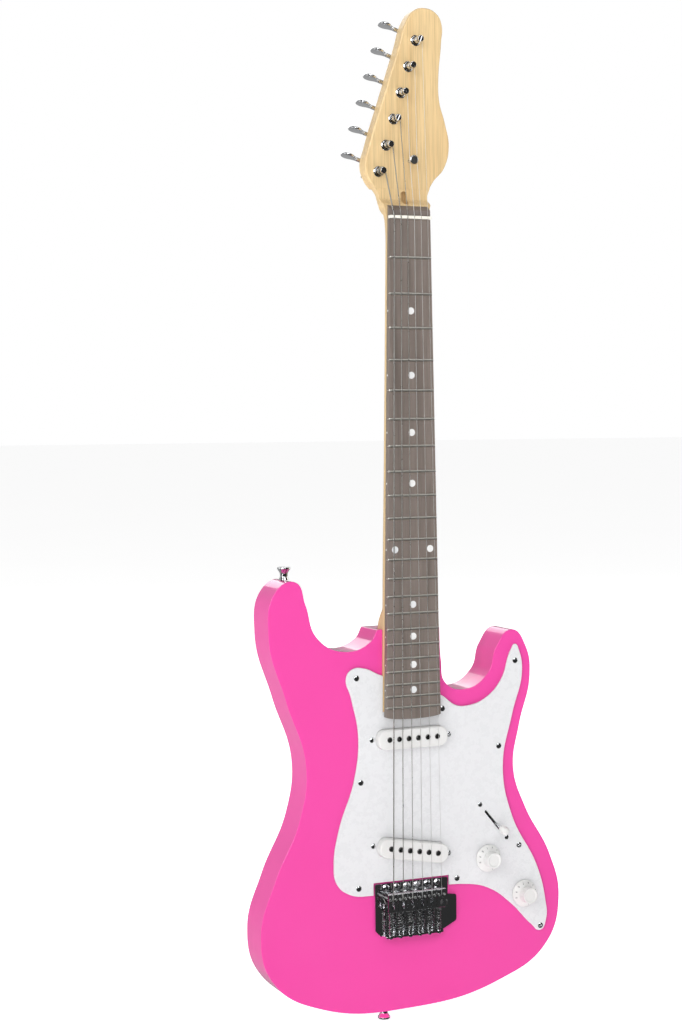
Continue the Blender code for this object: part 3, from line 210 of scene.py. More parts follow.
def fillet(points, radius, steps=4, closed=True):
    """A polyline with its corners rounded; a third number on a point is its own radius."""
    out = []
    count = len(points)
    for i, point in enumerate(points):
        here = Vector(point[:2])
        wanted = point[2] if len(point) > 2 else radius
        if wanted <= 0 or (not closed and i in (0, count - 1)):
            out.append(tuple(here))
            continue
        before = Vector(points[i - 1][:2]) - here
        after = Vector(points[(i + 1) % count][:2]) - here
        angle = before.angle(after, math.pi)
        if angle > 3.1 or angle < 0.05:
            out.append(tuple(here))
            continue
        reach = min(wanted / math.tan(angle / 2), before.length * 0.46, after.length * 0.46)
        real = reach * math.tan(angle / 2)
        centre = here + (before.normalized() + after.normalized()).normalized() * (real / math.sin(angle / 2))
        start = here + before.normalized() * reach - centre
        end = here + after.normalized() * reach - centre
        sweep = start.angle(end, 0.0)
        for k in range(steps + 1):
            share = k / steps
            if sweep < 1e-4:
                spoke = start
            else:
                spoke = start * math.sin((1 - share) * sweep) + end * math.sin(share * sweep)
                spoke = spoke / math.sin(sweep)
            out.append(tuple(centre + spoke))
    return out


def lathe(profile, steps=48, closed=False):
    """A turned piece about +Z from (radius, height) points; a closed profile makes a ring."""
    bm = bmesh.new()
    rings = []
    for radius, height in profile:
        if radius < 1e-7:
            rings.append([bm.verts.new((0.0, 0.0, height))])
        else:
            rings.append([bm.verts.new((radius * math.cos(2 * math.pi * i / steps),
                                        radius * math.sin(2 * math.pi * i / steps), height))
                          for i in range(steps)])
    pairs = list(zip(rings, rings[1:]))
    if closed:
        pairs.append((rings[-1], rings[0]))
    for one, two in pairs:
        for i in range(steps if max(len(one), len(two)) > 1 else 0):
            j = (i + 1) % steps
            if len(one) == 1:
                bm.faces.new((one[0], two[i], two[j]))
            elif len(two) == 1:
                bm.faces.new((one[i], two[0], one[j]))
            else:
                bm.faces.new((one[i], two[i], two[j], one[j]))
    return from_bmesh(bm)


def loft(rings):
    """A closed solid through rings of equal length, with its ends filled."""
    bm = bmesh.new()
    made = [[bm.verts.new(p) for p in ring] for ring in rings]
    size = len(rings[0])
    for one, two in zip(made, made[1:]):
        for i in range(size):
            j = (i + 1) % size
            bm.faces.new((one[i], one[j], two[j], two[i]))
    bm.faces.new(made[0])
    bm.faces.new(made[-1])
    return from_bmesh(bm)


def tube(points, radius, sides=8):
    """A round wire along a polyline. radius is one number or one for each point."""
    points = [Vector(p) for p in points]
    radii = radius if isinstance(radius, (list, tuple)) else [radius] * len(points)
    rings = []
    ahead = (points[1] - points[0]).normalized()
    side = ahead.orthogonal().normalized()
    for i, point in enumerate(points):
        back = (point - points[i - 1]).normalized() if i else ahead
        front = (points[i + 1] - point).normalized() if i + 1 < len(points) else back
        ahead = (back + front).normalized()
        side = (side - ahead * side.dot(ahead)).normalized()
        other = ahead.cross(side)
        rings.append([point + (side * math.cos(a) + other * math.sin(a)) * radii[i]
                      for a in (2 * math.pi * k / sides for k in range(sides))])
    return loft(rings)


ALONG = {
    "Y": Matrix(((1, 0, 0, 0), (0, 0, -1, 0), (0, 1, 0, 0), (0, 0, 0, 1))),
    "X": Matrix(((0, 0, 1, 0), (1, 0, 0, 0), (0, 1, 0, 0), (0, 0, 0, 1))),
    "Z": Matrix.Identity(4),
}


def slab(points, low, high, along="Y", edge=0.0, edge_steps=3, angle=50):
    """An outline made solid between two levels of one axis: x and z along Y, y and z along X,
    x and y along Z. edge rounds its rims."""
    bm = bmesh.new()
    a, b = (-high, -low) if along == "Y" else (low, high)
    one = [bm.verts.new((p[0], p[1], a)) for p in points]
    two = [bm.verts.new((p[0], p[1], b)) for p in points]
    bm.faces.new(one)
    bm.faces.new(two)
    count = len(points)
    for i in range(count):
        j = (i + 1) % count
        bm.faces.new((one[i], one[j], two[j], two[i]))
    obj = moved(from_bmesh(bm), ALONG[along])
    return rounded(obj, edge, edge_steps, angle) if edge > 0 else obj


def rounded(obj, width, steps=3, angle=50):
    made = obj.modifiers.new("bevel", "BEVEL")
    made.width = width
    made.segments = steps
    made.limit_method = "ANGLE"
    made.angle_limit = math.radians(angle)
    made.miter_outer = "MITER_ARC"
    return applied(obj)


def box(low, high, edge=0.0, steps=2):
    return slab(((low[0], low[2]), (high[0], low[2]), (high[0], high[2]), (low[0], high[2])),
                low[1], high[1], edge=edge, edge_steps=steps)


def rod(start, end, radius, steps=24, edge=0.0):
    """A straight round bar between two points."""
    start, end = Vector(start), Vector(end)
    length = (end - start).length
    profile = fillet(((0, length, 0), (radius, length), (radius, 0), (0, 0, 0)), edge, 3, closed=False)
    return moved(lathe(profile, steps), aim(start, end - start))


def aim(at, direction, spin=0.0):
    """A matrix that puts a piece's origin at a point with its +Z along a direction."""
    turn = Vector(direction).to_track_quat("Z", "Y").to_matrix().to_4x4()
    return Matrix.Translation(Vector(at)) @ turn @ Matrix.Rotation(spin, 4, "Z")


def smooth_outline(points, steps=16):
    """Points on a closed curve through an outline with automatic handles; 'corner' makes one sharp."""
    data = bpy.data.curves.new("outline", "CURVE")
    data.dimensions = "2D"
    data.fill_mode = "NONE"
    data.resolution_u = steps
    spline = data.splines.new("BEZIER")
    spline.use_cyclic_u = True
    spline.bezier_points.add(len(points) - 1)
    for knot, point in zip(spline.bezier_points, points):
        knot.co = (point[0], point[1], 0.0)
        kind = "VECTOR" if len(point) > 2 else "AUTO"
        knot.handle_left_type = knot.handle_right_type = kind
    obj = new_object("outline", data)
    mesh = applied_curve(obj)
    found = [tuple(v.co.xy) for v in mesh.vertices]
    bpy.data.objects.remove(obj)
    return found


def applied_curve(obj):
    bpy.context.view_layer.update()
    graph = bpy.context.evaluated_depsgraph_get()
    return bpy.data.meshes.new_from_object(obj.evaluated_get(graph))


def rectangle(half_x, half_z):
    return ((-half_x, -half_z), (half_x, -half_z), (half_x, half_z), (-half_x, half_z))


def oblong(width, height, corner, steps=8, x=0.0, z=0.0, turn=0.0):
    points = fillet(rectangle(width / 2, height / 2), corner, steps)
    c, s = math.cos(turn), math.sin(turn)
    return [(x + c * p[0] - s * p[1], z + s * p[0] + c * p[1]) for p in points]


def piece(obj, name, finish, body=ROOT, replaces=(), sharp=38, flat_weight=True):
    """Names a finished piece, dresses it, and hangs it on its CAD body."""
    obj.name = obj.data.name = name
    obj.data.materials.clear()
    obj.data.materials.append(finish)
    obj.data.shade_smooth()
    obj.data.set_sharp_from_angle(angle=math.radians(sharp))
    if flat_weight:
        weights = obj.modifiers.new("flat faces", "WEIGHTED_NORMAL")
        weights.keep_sharp = True
    if body:
        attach(obj, body)
    if replaces:
        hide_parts(*replaces)
    return obj


def dress(node, finish):
    """A CAD node that stays as it is, with a better material."""
    obj = NODES[node]
    obj.data.materials.clear()
    obj.data.materials.append(finish)


# ---------------------------------------------------------------- materials
class Maker:
    """Builds one node material a call at a time."""

    def __init__(self, name, slot):
        self.material = bpy.data.materials.new(name)
        self.material.use_nodes = True
        self.material["slot"] = slot
        self.tree = self.material.node_tree
        self.shader = self.tree.nodes["Principled BSDF"]
        self.where = self.add("ShaderNodeTexCoord").outputs["Object"]

    def add(self, kind, settings=None, **inputs):
        node = self.tree.nodes.new(kind)
        for key, value in (settings or {}).items():
            setattr(node, key, value)
        for key, value in inputs.items():
            self.feed(node.inputs[key.replace("_", " ")], value)
        return node

    def feed(self, socket, value):
        if isinstance(value, bpy.types.NodeSocket):
            self.tree.links.new(value, socket)
        else:
            socket.default_value = value

    def stretched(self, scale, turn=(0.0, 0.0, 0.0)):
        return self.add("ShaderNodeMapping", Vector=self.where, Scale=scale, Rotation=turn).outputs[0]

    def noise(self, scale, detail=3.0, rough=0.5, vector=None, distortion=0.0):
        return self.add("ShaderNodeTexNoise", Vector=vector or self.where, Scale=scale, Detail=detail,
                        Roughness=rough, Distortion=distortion).outputs["Fac"]

    def ramp(self, value, stops):
        node = self.add("ShaderNodeValToRGB", Fac=value)
        while len(node.color_ramp.elements) < len(stops):
            node.color_ramp.elements.new(0.5)
        for element, (at, colour) in zip(node.color_ramp.elements, stops):
            element.position = at
            element.color = (*colour, 1.0) if len(colour) == 3 else colour
        return node.outputs["Color"]

    def spread(self, value, low, high, start=0.3, end=0.7):
        return self.add("ShaderNodeMapRange", Value=value, From_Min=start, From_Max=end, To_Min=low,
                        To_Max=high).outputs["Result"]

    def mix(self, share, one, two, blend="MIX"):
        node = self.tree.nodes.new("ShaderNodeMix")
        node.data_type = "RGBA"
        node.blend_type = blend
        self.feed(node.inputs[0], share)
        self.feed(node.inputs[6], (*one, 1.0) if isinstance(one, tuple) else one)
        self.feed(node.inputs[7], (*two, 1.0) if isinstance(two, tuple) else two)
        return node.outputs[2]

    def maths(self, operation, one, two=0.0):
        node = self.tree.nodes.new("ShaderNodeMath")
        node.operation = operation
        self.feed(node.inputs[0], one)
        self.feed(node.inputs[1], two)
        return node.outputs[0]

    def bump(self, height, depth, strength=1.0, under=None):
        node = self.add("ShaderNodeBump", Height=height, Distance=depth, Strength=strength)
        if under is not None:
            self.feed(node.inputs["Normal"], under)
        return node.outputs["Normal"]

    def done(self, **inputs):
        for key, value in inputs.items():
            self.feed(self.shader.inputs[key.replace("_", " ")], value)
        return self.material


def lacquer(name, slot, colour, tint):
    """Sprayed colour under a clear gloss coat, with a trace of orange peel."""
    make = Maker(name, slot)
    cloud = make.noise(9.0, 2.0)
    base = make.mix(make.spread(cloud, 0.0, 1.0), colour, tint)
    peel = make.noise(420.0, 1.0)
    wave = make.noise(35.0, 1.0)
    normal = make.bump(peel, 0.00002, 0.25, make.bump(wave, 0.0001, 0.12))
    return make.done(Base_Color=base, Roughness=make.spread(make.noise(60.0), 0.30, 0.38), Normal=normal,
                     Coat_Weight=1.0, Coat_Roughness=0.03, Coat_IOR=1.5)


def timber(name, slot, light, dark, streaks, pores, roughness, coat, depth):
    """Straight-grained wood whose grain runs along Z."""
    make = Maker(name, slot)
    wander = make.noise(7.0, 3.0, vector=make.stretched((1.0, 1.0, 0.25)))
    bands = make.noise(streaks, 5.0, 0.62, make.stretched((1.0, 1.0, 0.035)), 0.4)
    fine = make.noise(pores, 3.0, 0.7, make.stretched((1.0, 1.0, 0.02)))
    tone = make.maths("ADD", make.maths("MULTIPLY", bands, 0.65), make.maths("MULTIPLY", wander, 0.35))
    base = make.ramp(tone, ((0.32, dark), (0.52, light), (0.75, tuple(min(1.0, c * 1.08) for c in light))))
    flecks = make.spread(fine, 0.80, 1.0, 0.36, 0.56)
    base = make.mix(1.0, base, make.add("ShaderNodeCombineColor", Red=flecks, Green=flecks,
                                        Blue=flecks).outputs[0], "MULTIPLY")
    normal = make.bump(fine, depth, 0.5)
    return make.done(Base_Color=base, Roughness=make.spread(bands, roughness, roughness + 0.12),
                     Normal=normal, Coat_Weight=coat, Coat_Roughness=0.18)


def plastic(name, slot, colour, shade, roughness, coat=0.0, vary=0.10):
    make = Maker(name, slot)
    base = make.mix(make.spread(make.noise(26.0, 4.0), 0.0, 1.0), colour, shade)
    normal = make.bump(make.noise(1500.0, 2.0), 0.00001, 0.35)
    rough = make.spread(make.noise(190.0, 5.0, 0.7), roughness, roughness + vary)
    return make.done(Base_Color=base, Roughness=rough, Normal=normal, Coat_Weight=coat, Coat_Roughness=0.10)


SCRATCH_STRETCH = (1.0, 1.0, 0.08)
SCRATCH_DEPTH = 0.000004


def metal(name, slot, colour, shade, low, high):
    """Bright metal with faint handling marks."""
    make = Maker(name, slot)
    smears = make.noise(70.0, 5.0, 0.65)
    lines = make.noise(2600.0, 2.0, 0.6, make.stretched(SCRATCH_STRETCH, (0.3, 0.2, 0.1)))
    base = make.mix(make.spread(smears, 0.0, 1.0), colour, shade)
    return make.done(Base_Color=base, Metallic=1.0, Roughness=make.spread(smears, low, high),
                     Normal=make.bump(lines, SCRATCH_DEPTH, 0.35))


def wound(name, slot, colour, pitch):
    """Wound string: a fine wrap along the string's length, with painted shade darkening the grooves between
    its turns.
    """
    make = Maker(name, slot)
    wave = make.add("ShaderNodeTexWave", {"bands_direction": "Z"}, Vector=make.where,
                    Scale=0.314 / pitch).outputs["Fac"]
    # Painted shade: the grooves between the wrap's turns are coloured at about a third of the wire's own
    # colour.
    base = make.mix(wave, tuple(c * 0.35 for c in colour), colour)
    return make.done(Base_Color=base, Metallic=1.0, Roughness=make.spread(make.noise(300.0), 0.25, 0.4),
                     Normal=make.bump(wave, 0.0001, 0.6))


PINK = lacquer("pink lacquer", "pink_lacquer", (0.90, 0.064, 0.395), (0.88, 0.058, 0.375))
MAPLE = timber("maple", "maple", (0.80, 0.585, 0.305), (0.72, 0.49, 0.235), 90.0, 900.0, 0.34, 0.35, 0.00002)
ROSEWOOD = timber("dark board wood", "rosewood", (0.220, 0.180, 0.157), (0.110, 0.087, 0.073), 120.0,
                  1500.0, 0.42, 0.0, 0.00008)
BONE = plastic("nut plastic", "bone_plastic", (0.90, 0.88, 0.80), (0.86, 0.83, 0.73), 0.28)
WHITE = plastic("white plastic", "white_plastic", (0.755, 0.76, 0.775), (0.75, 0.755, 0.77), 0.26, 0.25, 0.03)
COVER_WHITE = plastic("cover plastic", "white_plastic", (0.77, 0.77, 0.76), (0.74, 0.735, 0.72), 0.26)
DARK_PLASTIC = plastic("black moulding", "dark_plastic", (0.020, 0.020, 0.021), (0.030, 0.029, 0.028), 0.40)
INK = plastic("dial ink", "dark_plastic", (0.10, 0.10, 0.11), (0.16, 0.16, 0.17), 0.5)
PEARL = plastic("inlay", "bone_plastic", (0.88, 0.87, 0.85), (0.74, 0.76, 0.78), 0.18)
BLACK = plastic("black enamel", "black_paint", (0.012, 0.012, 0.013), (0.020, 0.019, 0.019), 0.22, 0.5)
CHROME = metal("chrome", "chrome", (0.86, 0.87, 0.88), (0.80, 0.81, 0.83), 0.05, 0.12)
STEEL = metal("bright steel", "steel", (0.66, 0.66, 0.65), (0.56, 0.56, 0.56), 0.22, 0.36)
NICKEL = metal("fret nickel", "steel", (0.92, 0.90, 0.84), (0.84, 0.82, 0.76), 0.44, 0.56)
DARK_STEEL = metal("pole steel", "steel", (0.34, 0.34, 0.33), (0.24, 0.24, 0.24), 0.20, 0.34)
GREY_METAL = metal("block metal", "steel", (0.52, 0.52, 0.53), (0.43, 0.43, 0.44), 0.36, 0.5)
COPPER = metal("coil wire", "steel", (0.42, 0.14, 0.06), (0.34, 0.10, 0.04), 0.3, 0.4)


# ---------------------------------------------------------------- screws
def cross_head(radius, height, sink=0.0004):
    """A screw head with a cross recess, its seat at the origin and its top along +Z."""
    profile = fillet(((0, height, 0), (radius * 0.55, height * 0.94), (radius * 0.92, height * 0.45),
                      (radius, 0.0), (radius, -sink), (0, -sink, 0)), radius * 0.12, 3, closed=False)
    head = lathe(profile, 28)
    arm, wide, floor = radius * 0.58, radius * 0.13, height - max(height * 0.6, radius * 0.3)
    for turn in (0, math.pi / 2):
        bar = slab(rectangle(arm, wide), max(floor, -sink * 0.5),
                   height * 1.5, along="Z")
        cut(head, moved(bar, Matrix.Rotation(turn, 4, "Z")))
    return head


def screws(name, places, direction, radius, height):
    """Several equal screw heads as one piece, each turned its own way."""
    made = copies(cross_head(radius, height),
                  [aim(at, direction, DICE.uniform(0, math.pi)) for at in places])
    return piece(made, name, CHROME)


# ---------------------------------------------------------------- body
# The outlines and places below are the CAD model's, x and z from its anchor between the neck
# pocket's end and the saddles.
BODY_OUTLINE = (
    (0.0315, 0.159, "corner"), (0.0330, 0.128), (0.0375, 0.1065), (0.0580, 0.0995), (0.0820, 0.1135),
    (0.0905, 0.1370), (0.1070, 0.1525), (0.1215, 0.1370), (0.1260, 0.1080), (0.1145, 0.0630),
    (0.1080, 0.0220), (0.1205, -0.0160), (0.1465, -0.0630), (0.1565, -0.1050), (0.1430, -0.1480),
    (0.0920, -0.1780), (0.0000, -0.1925), (-0.0900, -0.1825), (-0.1360, -0.1530), (-0.1475, -0.1100),
    (-0.1330, -0.0610), (-0.1085, -0.0070), (-0.1025, 0.0400), (-0.1210, 0.0990), (-0.1372, 0.1580),
    (-0.1290, 0.1990), (-0.1110, 0.2055), (-0.1015, 0.1850), (-0.0910, 0.1550), (-0.0660, 0.1410),
    (-0.0385, 0.1480), (-0.0315, 0.159, "corner"),
)
GUARD_OUTLINE = (
    (0.0311, 0.0963), (0.0476, 0.0853), (0.0603, 0.0845), (0.0779, 0.0904), (0.0940, 0.1060),
    (0.1050, 0.1340), (0.1094, 0.1390), (0.1135, 0.1330), (0.1165, 0.1120), (0.1061, 0.0742),
    (0.0957, 0.0249), (0.1053, -0.0228), (0.1316, -0.0726), (0.1404, -0.1051), (0.1413, -0.1250),
    (0.1350, -0.1350), (0.1250, -0.1280), (0.1048, -0.1071), (0.0800, -0.0890), (0.0560, -0.0828),
    (-0.0400, -0.0838), (-0.0620, -0.0805), (-0.0745, -0.0695), (-0.0773, -0.0520), (-0.0721, -0.0210),
    (-0.0563, 0.0244), (-0.0521, 0.0630), (-0.0591, 0.0994), (-0.0636, 0.1170), (-0.0580, 0.1245),
    (-0.0460, 0.1250), (-0.0309, 0.1185),
)
HEAD_OUTLINE = (
    (0.0222, 0.0120), (0.0240, 0.0240), (0.0300, 0.0360), (0.0410, 0.0485), (0.0464, 0.0684),
    (0.0425, 0.0900), (0.0370, 0.1090), (0.0362, 0.1300), (0.0392, 0.1620), (0.0398, 0.1790),
    (0.0345, 0.1885), (0.0220, 0.1928), (0.0110, 0.1893), (0.0035, 0.1790), (-0.0040, 0.1560),
    (-0.0198, 0.1090), (-0.0340, 0.0660), (-0.0383, 0.0480), (-0.0340, 0.0350), (-0.0255, 0.0240),
    (-0.0218, 0.0120),
)
CONTROL_CAVITY = (
    (0.0560, 0.0060), (0.0900, 0.0060), (0.1120, -0.0400), (0.1300, -0.0900), (0.1290, -0.1130),
    (0.1180, -0.1130), (0.0620, -0.0760), (0.0480, -0.0400),
)
KNOBS = {"volume": (0.0790, -0.0603), "tone": (0.1170, -0.0975)}
SWITCH = (0.0850, -0.0259)


def from_anchor(points):
    return [(p[0], p[1] + ANCHOR_Z, *p[2:]) for p in points]


def pocket(clearance):
    top, end = HEEL_TOP_Z + 0.03, POCKET_END_Z - clearance + GAP
    wide_top, wide_end = board_half(top) + clearance, board_half(end) + clearance
    return [(-wide_top, top), (wide_top, top), (wide_end, end), (-wide_end, end)]


def make_body():
    rim = [(min(max(x, CAD_LOW.x), CAD_HIGH.x), z)
           for x, z in smooth_outline(from_anchor(BODY_OUTLINE), 20)]
    body = slab(rim, 0.0, BODY_DEPTH, edge=0.0060, edge_steps=8, angle=40)
    plate_low, plate_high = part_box("jack_plate")
    seat_x = plate_low.x - GAP
    jack_z = (plate_low.z + plate_high.z) / 2
    cavity = 0.0140
    cut(body,
        slab(pocket(GAP), -0.001, HEEL_BACK_Y + GAP),
        slab(oblong(0.0920, 0.0242, 0.006, z=NECK_PICKUP_Z), -0.001, cavity),
        slab(oblong(0.0920, 0.0242, 0.006, z=BRIDGE_PICKUP_Z, turn=-BRIDGE_SLANT), -0.001, cavity),
        slab(fillet(from_anchor(CONTROL_CAVITY), 0.004, 4), -0.002, 0.0250),
        box((0.0410, -0.003, BRIDGE_PICKUP_Z - 0.004), (0.0590, 0.0098, NECK_PICKUP_Z)),
        box((-0.0360, -0.001, SADDLE_Z - 0.018), (0.0360, BODY_DEPTH + 0.001, SADDLE_Z + 0.0100)),
        box((-0.0370, 0.0225, SADDLE_Z - 0.019), (0.0370, BODY_DEPTH + 0.002, SADDLE_Z + 0.1090)),
        slab(oblong(plate_high.y - plate_low.y + 0.0016, plate_high.z - plate_low.z + 0.0016, 0.0048, 8,
                    (plate_low.y + plate_high.y) / 2, jack_z), seat_x, seat_x + 0.02, along="X"),
        rod((0.124, BODY_DEPTH / 2, jack_z), (0.17, BODY_DEPTH / 2, jack_z), 0.0095))
    piece(body, "body_shell", PINK, replaces=("body",), sharp=40)


# ---------------------------------------------------------------- neck
HEAD_RIM = smooth_outline(HEAD_OUTLINE, 14)
HEAD_STARTS_Z = 0.0130


def head_edges(z):
    """How far the head's outline reaches right and left at height z."""
    found = [a[0] + (b[0] - a[0]) * (z - a[1]) / (b[1] - a[1])
             for a, b in zip(HEAD_RIM, HEAD_RIM[1:] + HEAD_RIM[:1]) if (a[1] - z) * (b[1] - z) < 0]
    return max(found), -min(found)


def between(z, table):
    """Smooth steps through a table of (z, value)."""
    rows = sorted(table)
    if z <= rows[0][0]:
        return rows[0][1]
    for (z0, v0), (z1, v1) in zip(rows, rows[1:]):
        if z <= z1:
            t = (z - z0) / (z1 - z0)
            return v0 + (v1 - v0) * t * t * (3 - 2 * t)
    return rows[-1][1]


NECK_FRONT = ((0.0125, NECK_FRONT_Y), (0.0195, HEAD_FACE_Y + 0.0004))
NECK_BACK = ((HEEL_TOP_Z - 0.002, HEEL_BACK_Y), (HEEL_TOP_Z + 0.020, 0.0125), (-0.020, 0.0100),
             (-0.010, 0.0105), (0.004, 0.0125), (0.016, 0.0150), (0.030, 0.0167))
NECK_SQUARE = ((HEEL_TOP_Z - 0.002, 10.0), (HEEL_TOP_Z + 0.020, 2.7), (-0.20, 2.4), (-0.020, 2.3),
               (0.006, 2.9), (0.030, 7.0))
PADDLE_CENTRE_Z, PADDLE_HALF, PADDLE_TALL, PADDLE_RAMP = 0.0240, 0.0190, 0.0205, 0.0060


def paddle_back(x, z):
    """The head's flat back ends in a rounded tongue that scoops down into the neck."""
    across, up = x / PADDLE_HALF, min(0.0, z - PADDLE_CENTRE_Z) / PADDLE_TALL
    out = (math.hypot(across, up) - 1.0) * PADDLE_HALF
    if out <= 0:
        return HEAD_BACK_Y - 0.0001
    t = min(1.0, out / PADDLE_RAMP)
    return HEAD_BACK_Y - 0.0001 - 0.0065 * t * (2 - t) if out < PADDLE_RAMP else -1.0


def neck_ring(z, points=56):
    if z < -0.0005:
        right = left = board_half(z)
    else:
        right, left = head_edges(max(z, HEAD_STARTS_Z))
        share = min(1.0, max(0.0, z) / HEAD_STARTS_Z)
        right = board_half(0.0) + (right - board_half(0.0)) * share
        left = board_half(0.0) + (left - board_half(0.0)) * share
    front, back, square = between(z, NECK_FRONT), between(z, NECK_BACK), between(z, NECK_SQUARE)
    ring = []
    for i in range(points + 1):
        angle = math.pi * i / points
        share = math.copysign(abs(math.cos(angle)) ** (2 / square), math.cos(angle))
        x = share * (right if share > 0 else left)
        y = front + (back - front) * math.sin(angle) ** (2 / square)
        if z > 0.001 and abs(share) < 0.97:
            y = max(y, paddle_back(x, z))
        ring.append((x, y, z))
    return ring


def make_neck():
    levels = [POCKET_END_Z + GAP, HEEL_TOP_Z - 0.002]
    levels += [HEEL_TOP_Z - 0.002 + 0.022 * k / 14 for k in range(1, 15)]
    levels += [HEEL_TOP_Z + 0.020 + (-0.022 - HEEL_TOP_Z - 0.020) * k / 24 for k in range(1, 25)]
    levels += [-0.022 + 0.0520 * k / 90 for k in range(1, 91)]
    neck = loft([neck_ring(z) for z in levels])
    # The head's own plate starts where its sides have left the neck's rounding.
    head = slab(HEAD_RIM, HEAD_FACE_Y, HEAD_BACK_Y, edge=0.0016, edge_steps=5, angle=40)
    cut(head, box((-0.06, HEAD_FACE_Y - 0.01, -0.01), (0.06, HEAD_BACK_Y + 0.01, 0.0285)))
    join(neck, head)
    for string in range(STRING_COUNT):
        x, z = post_place(string)
        cut(neck, rod((x, -0.01, z), (x, 0.03, z), POST_RADIUS + 0.0006))
    cut(neck,
        box((-0.0025, NECK_FRONT_Y - 0.002, HEEL_TOP_Z - 0.030), (0.0025, 0.0040, 0.0119)),
        rod((0.0, 0.0022, 0.0060), (0.0, 0.0022, 0.0240), 0.0031, 28),
        slab(oblong(0.0056, 0.0130, 0.0027, 8, z=0.0200), -0.01, 0.0085))
    piece(neck, "neck_and_head", MAPLE, replaces=("neck",), sharp=32)
    nut = lathe(((0.0, 0.0), (0.0026, 0.0), (0.0026, -0.006), (0.0, -0.006)), 6)
    cut(nut, rod((0, 0, 0.001), (0, 0, -0.004), 0.0012, 6))
    piece(moved(nut, Matrix.Translation((0.0, 0.0022, 0.0118))), "truss_nut", STEEL)


FRET_HALF, FRET_TANG = 0.0011, 0.0003
DOT_FRETS = (3, 5, 7, 9, 12, 15, 17, 19, 21)
DOT_RADIUS, DOT_DEPTH = 0.0032, 0.0012
SIDE_DOT_RADIUS, SIDE_DOT_Y = 0.0009, -0.0068


def make_board():
    end_half, top_half = board_half(BOARD_END_Z), board_half(BOARD_BEHIND_NUT)
    outline = [(-top_half, BOARD_BEHIND_NUT), (top_half, BOARD_BEHIND_NUT)]
    outline += [(end_half * math.cos(math.pi * i / 24),
                 BOARD_END_Z + 0.0030 - 0.0030 * math.sin(math.pi * i / 24)) for i in range(25)]
    board = slab(outline, BOARD_FRONT_Y, BOARD_BACK_Y, edge=0.0004, edge_steps=2)
    cut(board,
        box((-0.05, BOARD_FRONT_Y - 0.01, 0.0), (0.05, BOARD_FRONT_Y + 0.0040, 0.0033)),
        slab(((BOARD_FRONT_Y - 0.001, 0.0072), (BOARD_BACK_Y + 0.001, BOARD_BEHIND_NUT + 0.0008),
              (BOARD_FRONT_Y - 0.001, BOARD_BEHIND_NUT + 0.0008)), -0.05, 0.05, along="X"))
    frets = []
    for number in range(1, FRET_COUNT + 1):
        z, half = fret_z(number), board_half(fret_z(number)) - 0.0002
        rings = []
        for x, tall in ((-half, 0.25), (-half + 0.0010, 1.0), (half - 0.0010, 1.0), (half, 0.25)):
            rings.append([(x, BOARD_FRONT_Y - FRET_HALF * tall * math.sin(math.pi * k / 10),
                           z + FRET_HALF * math.cos(math.pi * k / 10)) for k in range(11)]
                         + [(x, BOARD_FRONT_Y + 0.0003, z + s * FRET_HALF) for s in (-1, 1)])
        frets.append(loft(rings))
        slot = box((-half - 0.001, BOARD_FRONT_Y - 0.001, z - FRET_TANG),
                   (half + 0.001, -0.0072, z + FRET_TANG))
        cut(board, slot)
        frets.append(box((-half - 0.0001, BOARD_FRONT_Y, z - FRET_TANG),
                         (half + 0.0001, -0.0073, z + FRET_TANG)))
    piece(merged(frets), "fret_wires", NICKEL)
    dots = []
    for number in DOT_FRETS:
        z = (fret_z(number) + fret_z(number - 1)) / 2
        for x in ((-0.0176, 0.0176) if number == 12 else (0.0,)):
            floor = (x, BOARD_FRONT_Y + DOT_DEPTH, z)
            cut(board, rod((x, BOARD_FRONT_Y - 0.001, z), floor, DOT_RADIUS, 32))
            dots.append(rod(floor, (x, BOARD_FRONT_Y - 0.00003, z), DOT_RADIUS, 32))
        side = board_half(z)
        dots.append(rod((-side + 0.0008, SIDE_DOT_Y, z), (-side - 0.00005, SIDE_DOT_Y, z),
                        SIDE_DOT_RADIUS, 16))
    piece(board, "board", ROSEWOOD, replaces=("fretboard",), sharp=30)
    piece(merged(dots), "position_dots", PEARL)


def make_nut():
    half = board_half(0.0)
    profile = fillet(((-0.0123, GAP, 0.0010), (-0.0123, 0.0030, 0.0004), (-0.0063, 0.0030, 0.0002),
                      (-0.0063, GAP, 0.0002)), 0.0003, 4)
    nut = slab(profile, -half, half, along="X", edge=0.0003, edge_steps=2, angle=60)
    for string in range(STRING_COUNT):
        x, radius = string_x(string, 0.0), STRING_RADII[string]
        bottom = -0.0115 + GAP
        cut(nut, slab(((x - radius - 0.0003, -0.014), (x + radius + 0.0003, -0.014),
                       (x + radius + 0.0001, bottom), (x - radius - 0.0001, bottom)),
                      -0.001, 0.006, along="Z"))
    piece(nut, "string_nut", BONE, replaces=("nut",))


# ---------------------------------------------------------------- tuners
ROW = Matrix.Rotation(TUNER_TILT, 4, "Y")       # local +Z runs up the row, local -X to the keys


# Along the key from its collar: the place, half the height and half the thickness.
KEY_SECTIONS = (
    (0.0, 0.0019, 0.0019), (0.0018, 0.0022, 0.0019), (0.0036, 0.0044, 0.0018), (0.0056, 0.0070, 0.0020),
    (0.0080, 0.0084, 0.0022), (0.0106, 0.0084, 0.0023), (0.0128, 0.0070, 0.0021),
    (0.0142, 0.0046, 0.0016), (0.0149, 0.0020, 0.0008),
)


def key_shape():
    """The key's kidney-shaped grip, in its own frame with the shaft along +X from 0."""
    rings = []
    for x, half_tall, half_thick in KEY_SECTIONS:
        ring = []
        for k in range(24):
            a = 2 * math.pi * k / 24
            dish = 1.0 - 0.22 * math.cos(a) ** 2 * min(1.0, x / 0.006)
            ring.append((x, half_tall * math.copysign(abs(math.cos(a)) ** 0.8, math.cos(a)),
                         half_thick * math.copysign(abs(math.sin(a)) ** 0.8, math.sin(a)) * dish))
        rings.append(ring)
    key = loft(rings)
    made = key.modifiers.new("round", "SUBSURF")
    made.levels = made.render_levels = 1
    return applied(key)


